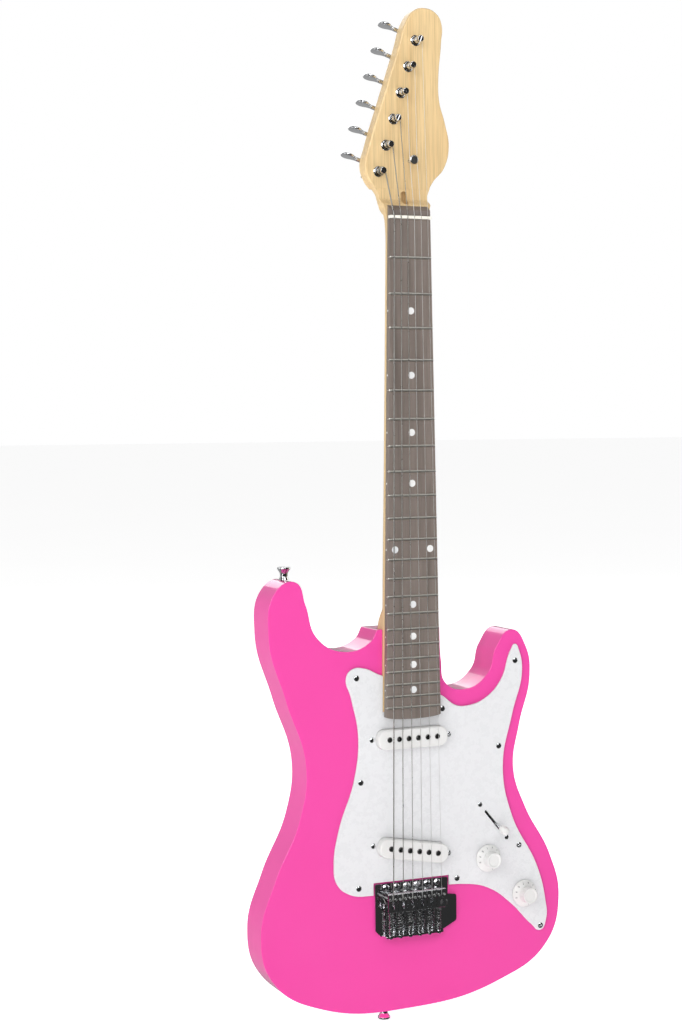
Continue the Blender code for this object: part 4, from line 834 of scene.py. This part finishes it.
def make_tuner(string):
    number = string + 1
    x, z = post_place(string)
    place = Matrix.Translation((x, 0.0, z)) @ ROW
    back = HEAD_BACK_Y + GAP
    # Housing: a base with a screw ear, and a raised case whose sides slope in to a flat lid.
    base = slab(oblong(0.0154, 0.0222, 0.0022, 5, z=0.00425), back, back + 0.0016, edge=0.0004, edge_steps=2)
    case = loft([[(sx * (0.0072 - inset), back + deep, 0.0028 + sz * (0.0086 - inset))
                  for sx, sz in ((-1, -1), (1, -1), (1, 1), (-1, 1))]
                 for deep, inset in ((0.0006, 0.0), (0.0078, 0.0004), (0.0106, 0.0026))])
    join(base, rounded(case, 0.0004, 2, 20))
    hollow = box((-0.0059, back - 0.001, -0.0047), (0.0059, back + 0.0092, 0.0103))
    cut(base, hollow, rod((-0.012, WORM_Y, WORM_OFFSET), (-0.004, WORM_Y, WORM_OFFSET), 0.0023))
    piece(moved(base, place), f"tuner_case_{number}", CHROME, replaces=(f"tuner_housing_{number}",), sharp=30)
    ear = moved(cross_head(0.0016, 0.0008), aim((0.0, back + 0.0016, 0.0134), REAR, DICE.uniform(0, 3)))
    piece(moved(ear, place), f"tuner_screw_{number}", CHROME)
    # Bushing on the head's face.
    bush = fillet(((0.0036, -0.004, 0), (0.0036, 0.0008), (0.0042, 0.0010), (0.0050, 0.0003),
                   (0.0050, 0.0, 0), (0.0040, 0.0, 0), (0.0040, -0.004, 0)), 0.0002, 3)
    piece(moved(lathe(bush, 32, closed=True), aim((x, HEAD_FACE_Y, z), FRONT)),
          f"tuner_bushing_{number}", CHROME)
    # Post with its gear, hole and slot; it turns.
    top = 0.0088
    profile = fillet(((0, top, 0), (0.0026, top), (0.0030, top - 0.0006), (0.0030, 0.0064), (0.0023, 0.0046),
                      (0.0030, 0.0026), (0.0030, -0.0195), (0.0030, -0.0206, 0), (0.0047, -0.0206, 0),
                      (0.0047, -0.0240, 0), (0, -0.0240, 0)), 0.0005, 4, closed=False)
    post = lathe(profile, 40)
    cut(post, rod((-0.006, 0, 0.0050), (0.006, 0, 0.0050), 0.0006, 12),
        slab(rectangle(0.0005, 0.006), 0.0076, 0.0095, along="Z"))
    for k in range(GEAR_TEETH):
        a = 2 * math.pi * k / GEAR_TEETH
        tooth = rod((0.0052 * math.cos(a), 0.0052 * math.sin(a), -0.0250),
                    (0.0052 * math.cos(a), 0.0052 * math.sin(a), -0.0200), 0.00062, 8)
        cut(post, tooth)
    spin = aim((x, 0.0, z), FRONT, DICE.uniform(-0.5, 0.5))
    piece(moved(post, spin), f"tuner_shaft_{number}", CHROME, f"tuner_post_{number}",
          replaces=(f"tuner_post_{number}",))
    # Key with its shaft, collar and worm; it turns about its own line.
    shaft = lathe(fillet(((0, 0.0050, 0), (0.0026, 0.0050), (0.0026, -0.0052), (0.0019, -0.0056),
                          (0.0019, -0.0081), (0.0030, -0.0083), (0.0030, -0.0108), (0.0019, -0.0120),
                          (0.0019, -0.0168), (0, -0.0168, 0)), 0.0003, 3, closed=False), 32)
    moved(shaft, Matrix.Rotation(math.pi / 2, 4, "Y"))
    helix = [(0.0042 - 0.0084 * k / 84, 0.0025 * math.cos(k * 0.52), 0.0025 * math.sin(k * 0.52))
             for k in range(85)]
    grip = moved(key_shape(), Matrix.Translation((-0.0166, 0, 0)) @ Matrix.Rotation(math.pi, 4, "Z"))
    whole = merged([join(shaft, grip), tube(helix, 0.0004, 6)])
    at = place @ Matrix.Translation((0.0, WORM_Y, WORM_OFFSET))
    piece(moved(whole, at), f"tuner_grip_{number}", CHROME, f"tuner_key_{number}",
          replaces=(f"tuner_key_{number}",), sharp=45)


# ---------------------------------------------------------------- strings
TREE_Z = 0.0540
TREE_STRINGS = (1, 2)


def post_side(string):
    return POST_RADIUS - 0.0007 + GAP + STRING_RADII[string]


def string_at(string, z):
    x, post_z = post_place(string)
    start = string_x(string, 0.0)
    return start + (x + post_side(string) - start) * z / post_z


def make_string(string):
    radius = STRING_RADII[string]
    nut_y, saddle_y = -0.0115 - radius, SADDLE_CREST_Y - GAP - radius
    post_x, post_z = post_place(string)
    x_saddle = string_x(string, SADDLE_Z)
    points = [(x_saddle, -0.0006, SADDLE_Z - 0.0090), (x_saddle, -0.0060, SADDLE_Z - 0.0085)]
    for k in range(7):                              # bends over the saddle's crown
        a = math.radians(82) * (1 - k / 6)
        points.append((x_saddle, saddle_y + 0.0040 * (1 - math.cos(a)),
                       SADDLE_Z - 0.0010 - 0.0040 * math.sin(a)))
    steps = 60
    for k in range(steps + 1):
        share = k / steps
        z = SADDLE_Z * (1 - share)
        points.append((string_x(string, z), saddle_y + (nut_y - saddle_y) * share, z))
    points.append((string_at(string, 0.0033), nut_y, 0.0033))
    if string in TREE_STRINGS:
        points.append((string_at(string, TREE_Z), -0.0062 + GAP + radius, TREE_Z))
    # Wraps down the post, each a wire's width below the last.
    side = post_side(string)
    turns, first = (3.2 if string < 3 else 2.3), POST_WAIST_Y + 0.0004
    count = int(turns * 20)
    for k in range(count + 1):
        a = 2 * math.pi * turns * k / count
        drop = min(2.15 * radius * turns, 0.0022) * k / count
        points.append((post_x + side * math.cos(a), first - 0.0006 + drop, post_z + side * math.sin(a)))
    wire = tube(points, radius, 10)
    finish = WOUND[string] if string in WOUND else PLAIN_WIRE
    piece(wire, f"wire_{string + 1}", finish, None, replaces=(f"string_{string + 1}",), flat_weight=False)
    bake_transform(wire)


PLAIN_WIRE = metal("plain wire", "steel", (0.90, 0.90, 0.89), (0.82, 0.82, 0.81), 0.42, 0.54)
WOUND = {3: wound("wound wire fine", "steel", (0.70, 0.69, 0.66), 0.0004),
         4: wound("wound wire middle", "steel", (0.69, 0.68, 0.65), 0.0005),
         5: wound("wound wire thick", "steel", (0.68, 0.67, 0.64), 0.0006)}


def make_tree():
    x = sum(string_at(s, TREE_Z) for s in TREE_STRINGS) / 2
    profile = fillet(((0, 0.0081, 0), (0.0032, 0.0081), (0.0041, 0.0075), (0.0041, 0.0062), (0.0018, 0.0062),
                      (0.0018, -0.0027, 0), (0, -0.0027, 0)), 0.0004, 4, closed=False)
    tree = lathe(profile, 40)
    for turn in (0.35, 0.35 + math.pi / 2):
        bar = slab(rectangle(0.0019, 0.00038), 0.0070, 0.0090, along="Z")
        cut(tree, moved(bar, Matrix.Rotation(turn, 4, "Z")))
    piece(moved(tree, aim((x, 0.0, TREE_Z), FRONT)), "string_button", STEEL, replaces=("string_tree",))


# ---------------------------------------------------------------- pickguard and what it carries
GUARD_SCREWS = ((-0.0537, -0.4135), (-0.0503, -0.5088), (-0.0531, -0.6055), (0.0325, -0.4465),
                (0.1088, -0.4063), (0.0910, -0.4855), (0.1120, -0.5810), (0.1347, -0.6601), (0.0466, -0.6059))


def make_guard():
    guard = slab(smooth_outline(from_anchor(GUARD_OUTLINE), 16), GUARD_FRONT_Y, -GAP, edge=0.0009,
                 edge_steps=2, angle=40)
    front, back = GUARD_FRONT_Y - 0.002, 0.002
    switch_x, switch_z = SWITCH[0], SWITCH[1] + ANCHOR_Z
    cut(guard, slab(pocket(2 * GAP), front, back),
        box((-0.0385, front, SADDLE_Z - 0.06), (0.0385, back, SADDLE_Z + 0.0120)),
        slab(oblong(0.0706, 0.0188, 0.0093, 12, z=NECK_PICKUP_Z), front, back),
        slab(oblong(0.0706, 0.0188, 0.0093, 12, z=BRIDGE_PICKUP_Z, turn=-BRIDGE_SLANT), front, back),
        slab(oblong(0.0026, 0.0270, 0.0014, 5, switch_x, switch_z, SLOT_TURN), front, back))
    for x, z in KNOBS.values():
        cut(guard, rod((x, front, z + ANCHOR_Z), (x, back, z + ANCHOR_Z), 0.0038))
    piece(guard, "guard", WHITE, replaces=("pickguard",), sharp=28)
    screws("guard_screws", [(x, GUARD_FRONT_Y, z) for x, z in GUARD_SCREWS], FRONT, 0.0028, 0.0011)


SLOT_TURN = math.radians(39.9)
SLOT_AXIS = Vector((-math.sin(SLOT_TURN), 0.0, math.cos(SLOT_TURN)))


def make_pickup(name, z, slant, top_y):
    turn = Matrix.Translation((0.0, 0.0, z)) @ Matrix.Rotation(slant, 4, "Y")
    foot = 0.0032
    cover = slab(oblong(0.0700, 0.0182, 0.0090, 12), top_y, foot)
    rounded(cover, 0.0015, 5, 60)
    join(cover, slab(oblong(0.0860, 0.0162, 0.004, 5), foot - 0.0015, foot - 0.0001))
    cut(cover, slab(oblong(0.0672, 0.0154, 0.0076, 8), top_y + 0.0014, foot + 0.003))
    poles = []
    for k in range(STRING_COUNT):
        x = 0.0480 * (k / (STRING_COUNT - 1) - 0.5)
        cut(cover, rod((x, top_y - 0.002, 0), (x, top_y + 0.004, 0), 0.0026, 24))
        profile = fillet(((0, 0.0006, 0), (0.0023, 0.0006), (0.0023, -0.0105), (0, -0.0105, 0)),
                         0.0004, 3, closed=False)
        poles.append(moved(lathe(profile, 24), aim((x, top_y, 0), FRONT)))
    piece(moved(cover, turn), f"{name}_case", COVER_WHITE, replaces=(f"{name}_cover",), sharp=40)
    piece(moved(merged(poles), turn), f"{name}_poles", DARK_STEEL)
    top, low = top_y + 0.0020, foot + 0.0013
    bobbin = merged([slab(oblong(0.0632, 0.0140, 0.0068, 6), top, top + 0.0014),
                     slab(oblong(0.0632, 0.0140, 0.0068, 6), low - 0.0014, low)])
    piece(moved(bobbin, turn), f"{name}_bobbin", DARK_PLASTIC, replaces=(f"{name}_core",))
    coil = slab(oblong(0.0600, 0.0122, 0.0060, 6), top + 0.0016, low - 0.0016, edge=0.0005, edge_steps=2)
    piece(moved(coil, turn), f"{name}_coil", COPPER)
    ends = [turn @ Vector((s * 0.0389, GUARD_FRONT_Y, 0.0)) for s in (-1, 1)]
    screws(f"{name}_screws", ends, FRONT, 0.0026, 0.0012)


DIGITS = "1234567890"


def make_knob(name):
    """A moulded knob: a dished grip with flutes above a sloping skirt with its scale."""
    x, z = KNOBS[name][0], KNOBS[name][1] + ANCHOR_Z
    low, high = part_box(f"{name}_knob")
    foot, top = -high.y, -low.y
    profile = fillet(((0, top - 0.0006, 0), (0.0050, top - 0.0006), (0.0061, top), (0.0073, top, 0.0007),
                      (0.0079, foot + 0.0052), (0.0088, foot + 0.0046), (0.0123, foot + 0.0018),
                      (0.0127, foot + 0.0008), (0.0127, foot, 0.0002), (0.0048, foot, 0),
                      (0.0048, foot + 0.0050, 0),
                      (0.0036, foot + 0.0050, 0), (0.0036, -0.0, 0)), 0.0005, 4, closed=False)[:-1]
    shaft_end = -GUARD_FRONT_Y + 0.0095 + GAP
    profile += [(0.0032, foot + 0.0050), (0.0032, shaft_end), (0.0, shaft_end)]
    steps = 120
    knob = lathe(profile, steps)
    for vertex in knob.data.vertices:
        r, h = vertex.co.xy.length, vertex.co.z
        if 0.0065 < r < 0.0081 and foot + 0.0050 < h < top - 0.0004:
            wave = 0.5 + 0.5 * math.cos(24 * math.atan2(vertex.co.y, vertex.co.x))
            scale = 1 - 0.045 * (1 - wave)
            vertex.co.x *= scale
            vertex.co.y *= scale
    piece(moved(knob, aim((x, 0, z), FRONT)), f"{name}_dial", COVER_WHITE, f"{name}_knob",
          replaces=(f"{name}_knob",), sharp=50)
    marks = []
    for k, digit in enumerate(DIGITS):
        data = bpy.data.curves.new("digit", "FONT")
        data.body = digit
        data.size = 0.0028
        data.extrude = 0.00008
        data.align_x, data.align_y = "CENTER", "CENTER"
        data.resolution_u = 2
        glyph = new_object("digit", data)
        mesh = applied_curve(glyph)
        bpy.data.objects.remove(glyph)
        digit_obj = new_object("digit", mesh)
        a = math.pi / 2 + 2 * math.pi * (k + 0.5) / 12 + math.pi
        slope = math.radians(38.7)
        put = (Matrix.Rotation(a, 4, "Z") @ Matrix.Translation((0.01055, 0, foot + 0.00325))
               @ Matrix.Rotation(slope, 4, "Y") @ Matrix.Rotation(math.pi / 2, 4, "Z"))
        marks.append(moved(digit_obj, put))
    piece(moved(merged(marks), aim((x, 0, z), FRONT)), f"{name}_numbers", INK, f"{name}_knob",
          flat_weight=False)


def make_switch():
    """The blade and its cap, turned to the end where the lever rests."""
    low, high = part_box("switch_tip")
    cad_tip = (low + high) / 2
    pivot = Vector((SWITCH[0], 0.0100, SWITCH[1] + ANCHOR_Z))
    reach = (cad_tip - pivot).normalized()
    side = Vector((math.cos(SLOT_TURN), 0.0, math.sin(SLOT_TURN)))
    turn = Matrix((side, reach.cross(side), reach)).transposed().to_4x4()
    turn.translation = pivot
    blade = slab(fillet(((-0.0021, 0.0), (0.0021, 0.0), (0.0021, 0.0226), (-0.0021, 0.0226)), 0.0016, 5),
                 -0.0007, 0.0007, along="X", edge=0.0002, edge_steps=2)
    hub = rod((-0.0013, 0, 0), (0.0013, 0, 0), 0.0045, 32, 0.0003)
    piece(moved(join(blade, hub), turn), "switch_blade", CHROME, "switch", replaces=("switch_lever",))
    profile = fillet(((0, 0.0285, 0), (0.0022, 0.0283), (0.0038, 0.0268), (0.0040, 0.0240), (0.0034, 0.0208),
                      (0.0024, 0.0190), (0, 0.0190, 0)), 0.0012, 6, closed=False)
    cap = lathe(profile, 40)
    moved(cap, Matrix.Diagonal((1.0, 1.12, 1.0, 1.0)))
    cut(cap, box((-0.0010, -0.0024, 0.0180), (0.0010, 0.0024, 0.0232)))
    piece(moved(cap, turn), "switch_cap", COVER_WHITE, "switch", replaces=("switch_tip",))
    middle = Vector((pivot.x, GUARD_FRONT_Y, pivot.z))
    screws("switch_screws", [middle + SLOT_AXIS * s * 0.0216 for s in (-1, 1)], FRONT, 0.0024, 0.0011)
    dress("switch_frame", STEEL)


# ---------------------------------------------------------------- tremolo bridge
PLATE_BACK_Z = SADDLE_Z - 0.0385
PLATE_EDGE_Z = SADDLE_Z + 0.0105


def make_plate():
    half, wing = 0.0370, 0.0090
    outline = fillet(((-half, PLATE_EDGE_Z), (half, PLATE_EDGE_Z), (half, SADDLE_Z - 0.0055, 0.0010),
                      (half + wing, SADDLE_Z - 0.0065, 0.0020), (half + wing, SADDLE_Z - 0.0310, 0.0030),
                      (half - 0.0060, PLATE_BACK_Z, 0.0060),
                      (-half + 0.0060, PLATE_BACK_Z, 0.0010), (-half, PLATE_BACK_Z + 0.0060, 0.0030)),
                     0.0015, 6)
    plate = slab(outline, PLATE_FRONT_Y, -GAP, edge=0.0004, edge_steps=2)
    lip = slab(fillet(((-half + 0.006, PLATE_FRONT_Y + 0.001, 0), (half - 0.006, PLATE_FRONT_Y + 0.001, 0),
                       (half - 0.008, PLATE_FRONT_Y - 0.0080), (-half + 0.008, PLATE_FRONT_Y - 0.0080)),
                      0.002, 4),
               PLATE_BACK_Z, PLATE_BACK_Z + 0.0016, along="Z", edge=0.0003, edge_steps=2)
    join(plate, lip)
    pivots = []
    for k in range(6):
        x = 0.0104 * (k - 2.5)
        pivots.append((x, PLATE_FRONT_Y, PLATE_EDGE_Z - 0.0036))
        string = string_x(k, SADDLE_Z)
        cut(plate, rod((string, -0.01, SADDLE_Z - 0.0085), (string, 0.003, SADDLE_Z - 0.0085), 0.0017))
    arm = (half - 0.0040, SADDLE_Z - 0.0136)
    cut(plate, rod((arm[0], -0.01, arm[1]), (arm[0], 0.003, arm[1]), 0.0030))
    piece(plate, "bridge_base", CHROME, TREMOLO, replaces=("bridge_plate",), sharp=30)
    ring = fillet(((0.0021, 0.0010), (0.0034, 0.0010), (0.0042, 0.0, 0), (0.0028, 0.0, 0),
                   (0.0028, -0.0022, 0), (0.0021, -0.0022, 0)), 0.0003, 3)
    piece(moved(lathe(ring, 32, closed=True), aim((arm[0], PLATE_FRONT_Y, arm[1]), FRONT)),
          "arm_bushing", STEEL, TREMOLO)
    screws("pivot_screws", pivots, FRONT, 0.0031, 0.0019)


def make_saddle(string):
    """A bent steel saddle with its two height screws, its length screw and that screw's spring."""
    number = string + 1
    x, half = string_x(string, SADDLE_Z), 0.00475
    front, back, top, under, wall = SADDLE_Z + 0.0040, SADDLE_Z - 0.0145, SADDLE_CREST_Y, -0.0064, 0.0014
    outside = fillet(((under, back, 0), (top + 0.0006, back, 0.0012), (top, back + 0.0050, 0.003),
                      (top, front - 0.0012, 0.0016), (under - 0.0016, front, 0)), 0.001, 5, closed=False)
    inside = fillet(((under - 0.0016, front - wall, 0), (top + wall, front - wall - 0.0012, 0.0008),
                     (top + wall, back + 0.0050, 0.002), (top + wall + 0.0006, back + wall, 0.0006),
                     (under, back + wall, 0)), 0.0008, 4, closed=False)
    saddle = slab(outside + inside, x - half, x + half, along="X", edge=0.00025, edge_steps=2)
    slot = oblong(0.0028, 0.0078, 0.0013, 5, x, SADDLE_Z - 0.0078)
    cut(saddle, slab(slot, top - 0.003, top + 0.0035))
    piece(saddle, f"saddle_plate_{number}", CHROME, TREMOLO, replaces=(f"saddle_{number}",), sharp=30)
    legs = []
    for s in (-1, 1):
        leg = rod((x + s * 0.00275, PLATE_FRONT_Y - GAP, SADDLE_Z - 0.0022),
                  (x + s * 0.00275, top - 0.0007, SADDLE_Z - 0.0022), 0.0013, 24, 0.0002)
        cut(leg, rod((x + s * 0.00275, top - 0.002, SADDLE_Z - 0.0022),
                     (x + s * 0.00275, top + 0.0010, SADDLE_Z - 0.0022), 0.0007, 6))
        legs.append(leg)
    piece(merged(legs), f"height_screws_{number}", STEEL, TREMOLO)
    y, flange = -0.0088, PLATE_BACK_Z
    screw = rod((x, y, flange + 0.0001), (x, y, back + 0.0045), 0.0013, 20, 0.0002)
    seat = aim((x, y, flange - 0.0001), (0, 0, -1), DICE.uniform(0, 3))
    head = moved(cross_head(0.0023, 0.0013, 0.0001), seat)
    piece(merged([screw, head]), f"length_screw_{number}", CHROME, TREMOLO)
    start, end, turns = flange + 0.0022, back - 0.0004, 9
    coil = [(x + 0.0021 * math.cos(a), y + 0.0021 * math.sin(a), start + (end - start) * k / (turns * 16))
            for k, a in ((k, 2 * math.pi * k / 16) for k in range(turns * 16 + 1))]
    piece(tube(coil, 0.00033, 6), f"length_spring_{number}", DARK_STEEL, TREMOLO, flat_weight=False)


def make_block():
    low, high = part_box("tremolo_block")
    block = box(low, high, 0.0012, 3)
    inner = high.y
    for string in range(STRING_COUNT):
        x = string_x(string, SADDLE_Z)
        cut(block, rod((x, -0.002, SADDLE_Z - 0.0015), (x, inner + 0.001, SADDLE_Z - 0.0015), 0.0009, 16),
            rod((x, inner - 0.006, SADDLE_Z - 0.0015), (x, inner + 0.001, SADDLE_Z - 0.0015), 0.0021, 20))
    piece(block, "inertia_block", GREY_METAL, TREMOLO, replaces=("tremolo_block",))


def make_springs():
    for index in range(3):
        low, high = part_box(f"tremolo_spring_{index + 1}")
        x, y = (low.x + high.x) / 2, (low.y + high.y) / 2
        radius, wire = 0.0030, 0.0006
        start, end = low.z + 0.0065, high.z - 0.0085
        turns = 52
        points = [(x, y + 0.0006, low.z + 0.0007), (x, y, low.z + 0.0040)]
        points += [(x + radius * math.cos(a) * min(1.0, k / 8), y + radius * math.sin(a) * min(1.0, k / 8),
                    start + (end - start) * k / (turns * 14))
                   for k, a in ((k, 2 * math.pi * k / 14) for k in range(turns * 14 + 1))]
        points += [(x, y, end + 0.0020), (x, y + 0.0004, high.z - 0.0007)]
        spring = tube(points, wire, 6)
        piece(spring, f"spring_coil_{index + 1}", STEEL, None, replaces=(f"tremolo_spring_{index + 1}",),
              flat_weight=False)
        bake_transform(spring)


def make_claw():
    low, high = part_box("spring_claw")
    cx = (low.x + high.x) / 2
    bar = box((low.x, low.y, low.z), (high.x, high.y, low.z + 0.0016), 0.0003)
    flap = box((low.x, high.y - 0.0016, low.z + 0.0008), (high.x, high.y, high.z), 0.0003)
    join(bar, flap)
    piece(bar, "claw", STEEL, replaces=("spring_claw",), sharp=30)
    bolts = []
    for s in (-1, 1):
        x, y = cx + s * 0.0165, (low.y + high.y) / 2
        bolts.append(rod((x, y, low.z - 0.0003), (x, y, SADDLE_Z + 0.115), 0.0018, 20))
        bolts.append(moved(cross_head(0.0036, 0.0020, 0.0), aim((x, y, low.z - 0.0001), (0, 0, -1), s)))
    piece(merged(bolts), "claw_screws", STEEL)


# ---------------------------------------------------------------- plates, jack and buttons
def make_back():
    low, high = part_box("back_cover")
    width, height = high.x - low.x, high.z - low.z
    middle = (low.z + high.z) / 2
    cover = slab(oblong(width, height, 0.006, 10, z=middle), low.y, high.y, edge=0.0005, edge_steps=3)
    cut(cover, slab(oblong(0.0640, 0.0120, 0.0048, 10, z=SADDLE_Z), low.y - 0.002, high.y + 0.002))
    inset = 0.0045
    spots = [(s * (width / 2 - inset), z) for s in (-1, 1) for z in (low.z + inset, middle, high.z - inset)]
    for x, z in spots:
        cone = lathe(((0, 0.001), (0.0034, 0.001), (0.0032, 0.0), (0.0018, -0.0014), (0, -0.0014)), 28)
        cut(cover, moved(cone, aim((x, high.y, z), REAR)))
    piece(cover, "spring_cover", WHITE, replaces=("back_cover",), sharp=30)
    heads = [(x, high.y - 0.0009, z) for x, z in spots]
    screws("spring_cover_screws", heads, REAR, 0.0027, 0.0009)
    low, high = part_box("neck_plate")
    width, height, middle = high.x - low.x, high.z - low.z, (low.z + high.z) / 2
    plate = slab(oblong(width, height, 0.006, 10, z=middle), low.y, high.y, edge=0.0005, edge_steps=3)
    spots = [(s * (width / 2 - 0.0075), middle + t * (height / 2 - 0.0075)) for s in (-1, 1) for t in (-1, 1)]
    for x, z in spots:
        cone = lathe(((0, 0.001), (0.0048, 0.001), (0.0046, 0.0), (0.0026, -0.0016), (0, -0.0016)), 32)
        cut(plate, moved(cone, aim((x, high.y, z), REAR)))
    piece(plate, "heel_plate", BLACK, replaces=("neck_plate",), sharp=30)
    screws("heel_plate_screws", [(x, high.y - 0.0011, z) for x, z in spots], REAR, 0.0040, 0.0011)


def make_jack():
    low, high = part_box("jack_plate")
    cy, cz = (low.y + high.y) / 2, (low.z + high.z) / 2
    plate = slab(oblong(high.y - low.y, high.z - low.z, 0.004, 8, cy, cz), low.x, high.x, along="X",
                 edge=0.0004, edge_steps=3)
    cut(plate, rod((low.x - 0.001, cy, cz), (high.x + 0.001, cy, cz), 0.0050))
    piece(plate, "jack_face", CHROME, replaces=("jack_plate",), sharp=30)
    screws("jack_screws", [(high.x, cy, cz + s * 0.0178) for s in (-1, 1)], (1, 0, 0), 0.0023, 0.0009)
    seat = high.x + GAP
    place = aim((seat, cy, cz), (1, 0, 0))
    ring = fillet(((0.0048, 0.0005), (0.0065, 0.0005), (0.0065, 0), (0.0048, 0)), 0.0001, 2)
    washer = moved(lathe(ring, 40, True), place)
    hexagon = [(0.0062 * math.cos(a), 0.0062 * math.sin(a)) for a in (math.pi / 3 * k for k in range(6))]
    nut = slab(hexagon, 0.0005, 0.0018, along="Z", edge=0.0002, edge_steps=2)
    cut(nut, rod((0, 0, -0.001), (0, 0, 0.003), 0.0047, 40))
    barrel = lathe(fillet(((0.00325, 0.0024), (0.0047, 0.0024), (0.0047, -0.0020, 0), (0.0075, -0.0020, 0),
                           (0.0075, -0.0058), (0.0057, -0.0058), (0.0057, -0.0218), (0.00325, -0.0218)),
                          0.0002, 3), 48, True)
    piece(merged([washer, moved(nut, place), moved(barrel, place)]), "jack_nut", CHROME,
          replaces=("jack_socket",), sharp=30)


def make_button(node, name, up):
    low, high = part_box(node)
    x, y = (low.x + high.x) / 2, (low.y + high.y) / 2
    foot = low.z if up > 0 else high.z
    profile = fillet(((0, 0.0107, 0), (0.0030, 0.0107), (0.0038, 0.0115), (0.0058, 0.0115, 0.0008),
                      (0.0060, 0.0100, 0.0008), (0.0036, 0.0062, 0.003), (0.0034, 0.0030, 0.001),
                      (0.0047, 0.0, 0), (0, 0.0, 0)), 0.0006, 5, closed=False)
    place = aim((x, y, foot), (0, 0, up))
    piece(moved(lathe(profile, 48), place), name, CHROME, replaces=(node,))
    head = moved(cross_head(0.0029, 0.0008), place @ Matrix.Translation((0, 0, 0.0107)))
    piece(head, f"{name}_screw", CHROME)


# ---------------------------------------------------------------- room, light and camera
def make_room():
    floor = new_object("floor", bpy.data.meshes.new("floor"))
    bm = bmesh.new()
    bmesh.ops.create_grid(bm, x_segments=2, y_segments=2, size=60.0)
    bm.to_mesh(floor.data)
    bm.free()
    floor.location = (0.0, 0.0, CAD_LOW.z - 0.001)
    make = Maker("pale floor", "white_plastic")
    tone = make.mix(make.spread(make.noise(1.4, 4.0), 0.0, 1.0), (0.93, 0.93, 0.93), (0.90, 0.90, 0.90))
    floor.data.materials.append(make.done(Base_Color=tone, Roughness=0.9, Specular_IOR_Level=0.1,
                                        Emission_Color=(1.0, 1.0, 1.0, 1.0), Emission_Strength=0.80))
    # Polished faces mirror the dim room, not the bright floor.
    floor.visible_glossy = False

    world = bpy.data.worlds.new("studio")
    bpy.context.scene.world = world
    world.use_nodes = True
    tree = world.node_tree
    tree.nodes.clear()

    def node(kind, **inputs):
        made = tree.nodes.new(kind)
        for key, value in inputs.items():
            socket = made.inputs[int(key[1:])] if key[0] == "i" and key[1:].isdigit() else made.inputs[key]
            if isinstance(value, bpy.types.NodeSocket):
                tree.links.new(value, socket)
            else:
                socket.default_value = value
        return made

    where = tree.nodes.new("ShaderNodeTexCoord").outputs["Generated"]
    parts = node("ShaderNodeSeparateXYZ", i0=where)
    # The room is pale behind the guitar and dim in front of it, as in a tent with a dark camera side.
    toward = node("ShaderNodeMapRange", Value=parts.outputs["Y"], **{"From Min": -0.45, "From Max": 0.80,
                                                                     "To Min": 0.03, "To Max": 0.36})
    toward.interpolation_type = "SMOOTHSTEP"
    dim = node("ShaderNodeBackground", Color=(1.0, 1.0, 1.0, 1.0), Strength=toward.outputs["Result"])
    white = node("ShaderNodeBackground", Color=(1.0, 1.0, 1.0, 1.0), Strength=1.0)
    ray = tree.nodes.new("ShaderNodeLightPath")
    mixed = node("ShaderNodeMixShader", i0=ray.outputs["Is Camera Ray"], i1=dim.outputs[0],
                 i2=white.outputs[0])
    out = tree.nodes.new("ShaderNodeOutputWorld")
    tree.links.new(mixed.outputs[0], out.inputs["Surface"])


def area_light(name, at, target, size, power, size_y=None):
    data = bpy.data.lights.new(name, "AREA")
    data.shape = "RECTANGLE"
    data.size, data.size_y = size, size_y or size
    data.energy = power
    lamp = new_object(name, data)
    lamp.location = at
    lamp.rotation_euler = (Vector(target) - Vector(at)).to_track_quat("-Z", "Y").to_euler()
    return lamp


def make_lights():
    middle = (0.0, 0.0, -0.35)
    area_light("key", (-2.6, -2.6, 1.4), middle, 2.2, 70.0)
    area_light("fill", (0.2, -3.4, 2.6), middle, 2.4, 40.0)
    area_light("left", (-3.0, 0.6, 0.2), middle, 2.0, 10.0)
    area_light("right", (3.0, 0.3, 0.4), middle, 1.6, 14.0)
    area_light("behind", (0.6, 3.2, 1.8), middle, 2.4, 30.0)
    area_light("left strip", (-2.4, -1.3, 0.0), middle, 0.22, 12.0, 2.6)
    area_light("top strip", (0.3, -1.4, 2.4), middle, 2.6, 8.0, 0.25)


def make_camera():
    yaw, pitch, roll = math.radians(23.4), math.radians(2.6), math.radians(-0.52)
    ahead = Vector((math.sin(yaw) * math.cos(pitch), math.cos(yaw) * math.cos(pitch), -math.sin(pitch)))
    right = Vector((math.cos(yaw), -math.sin(yaw), 0.0))
    up = right.cross(ahead)
    across = right * math.cos(roll) + up * math.sin(roll)
    above = up * math.cos(roll) - right * math.sin(roll)
    data = bpy.data.cameras.new("camera")
    data.sensor_fit = "VERTICAL"
    data.sensor_height = 36.0
    data.lens = 66.73
    camera = new_object("camera", data)
    turn = Matrix((across, above, -ahead)).transposed().to_4x4()
    turn.translation = Vector((-0.7426, -1.5629, -0.1854))
    camera.matrix_world = turn
    bpy.context.scene.camera = camera


# ---------------------------------------------------------------- all of it
make_camera()
make_room()
make_lights()
bpy.context.scene.view_settings.view_transform = "Standard"

make_body()
make_neck()
make_board()
make_nut()
for each in range(STRING_COUNT):
    make_tuner(each)
    make_string(each)
    make_saddle(each)
make_tree()
make_guard()
make_pickup("neck_pickup", NECK_PICKUP_Z, 0.0, -0.0095)
make_pickup("bridge_pickup", BRIDGE_PICKUP_Z, BRIDGE_SLANT, -0.0105)
make_knob("volume")
make_knob("tone")
make_switch()
make_plate()
make_block()
make_springs()
make_claw()
make_back()
make_jack()
make_button("strap_button_horn", "horn_button", 1)
make_button("strap_button_tail", "tail_button", -1)
dress("volume_pot", STEEL)
dress("tone_pot", STEEL)
dress("truss_rod", STEEL)
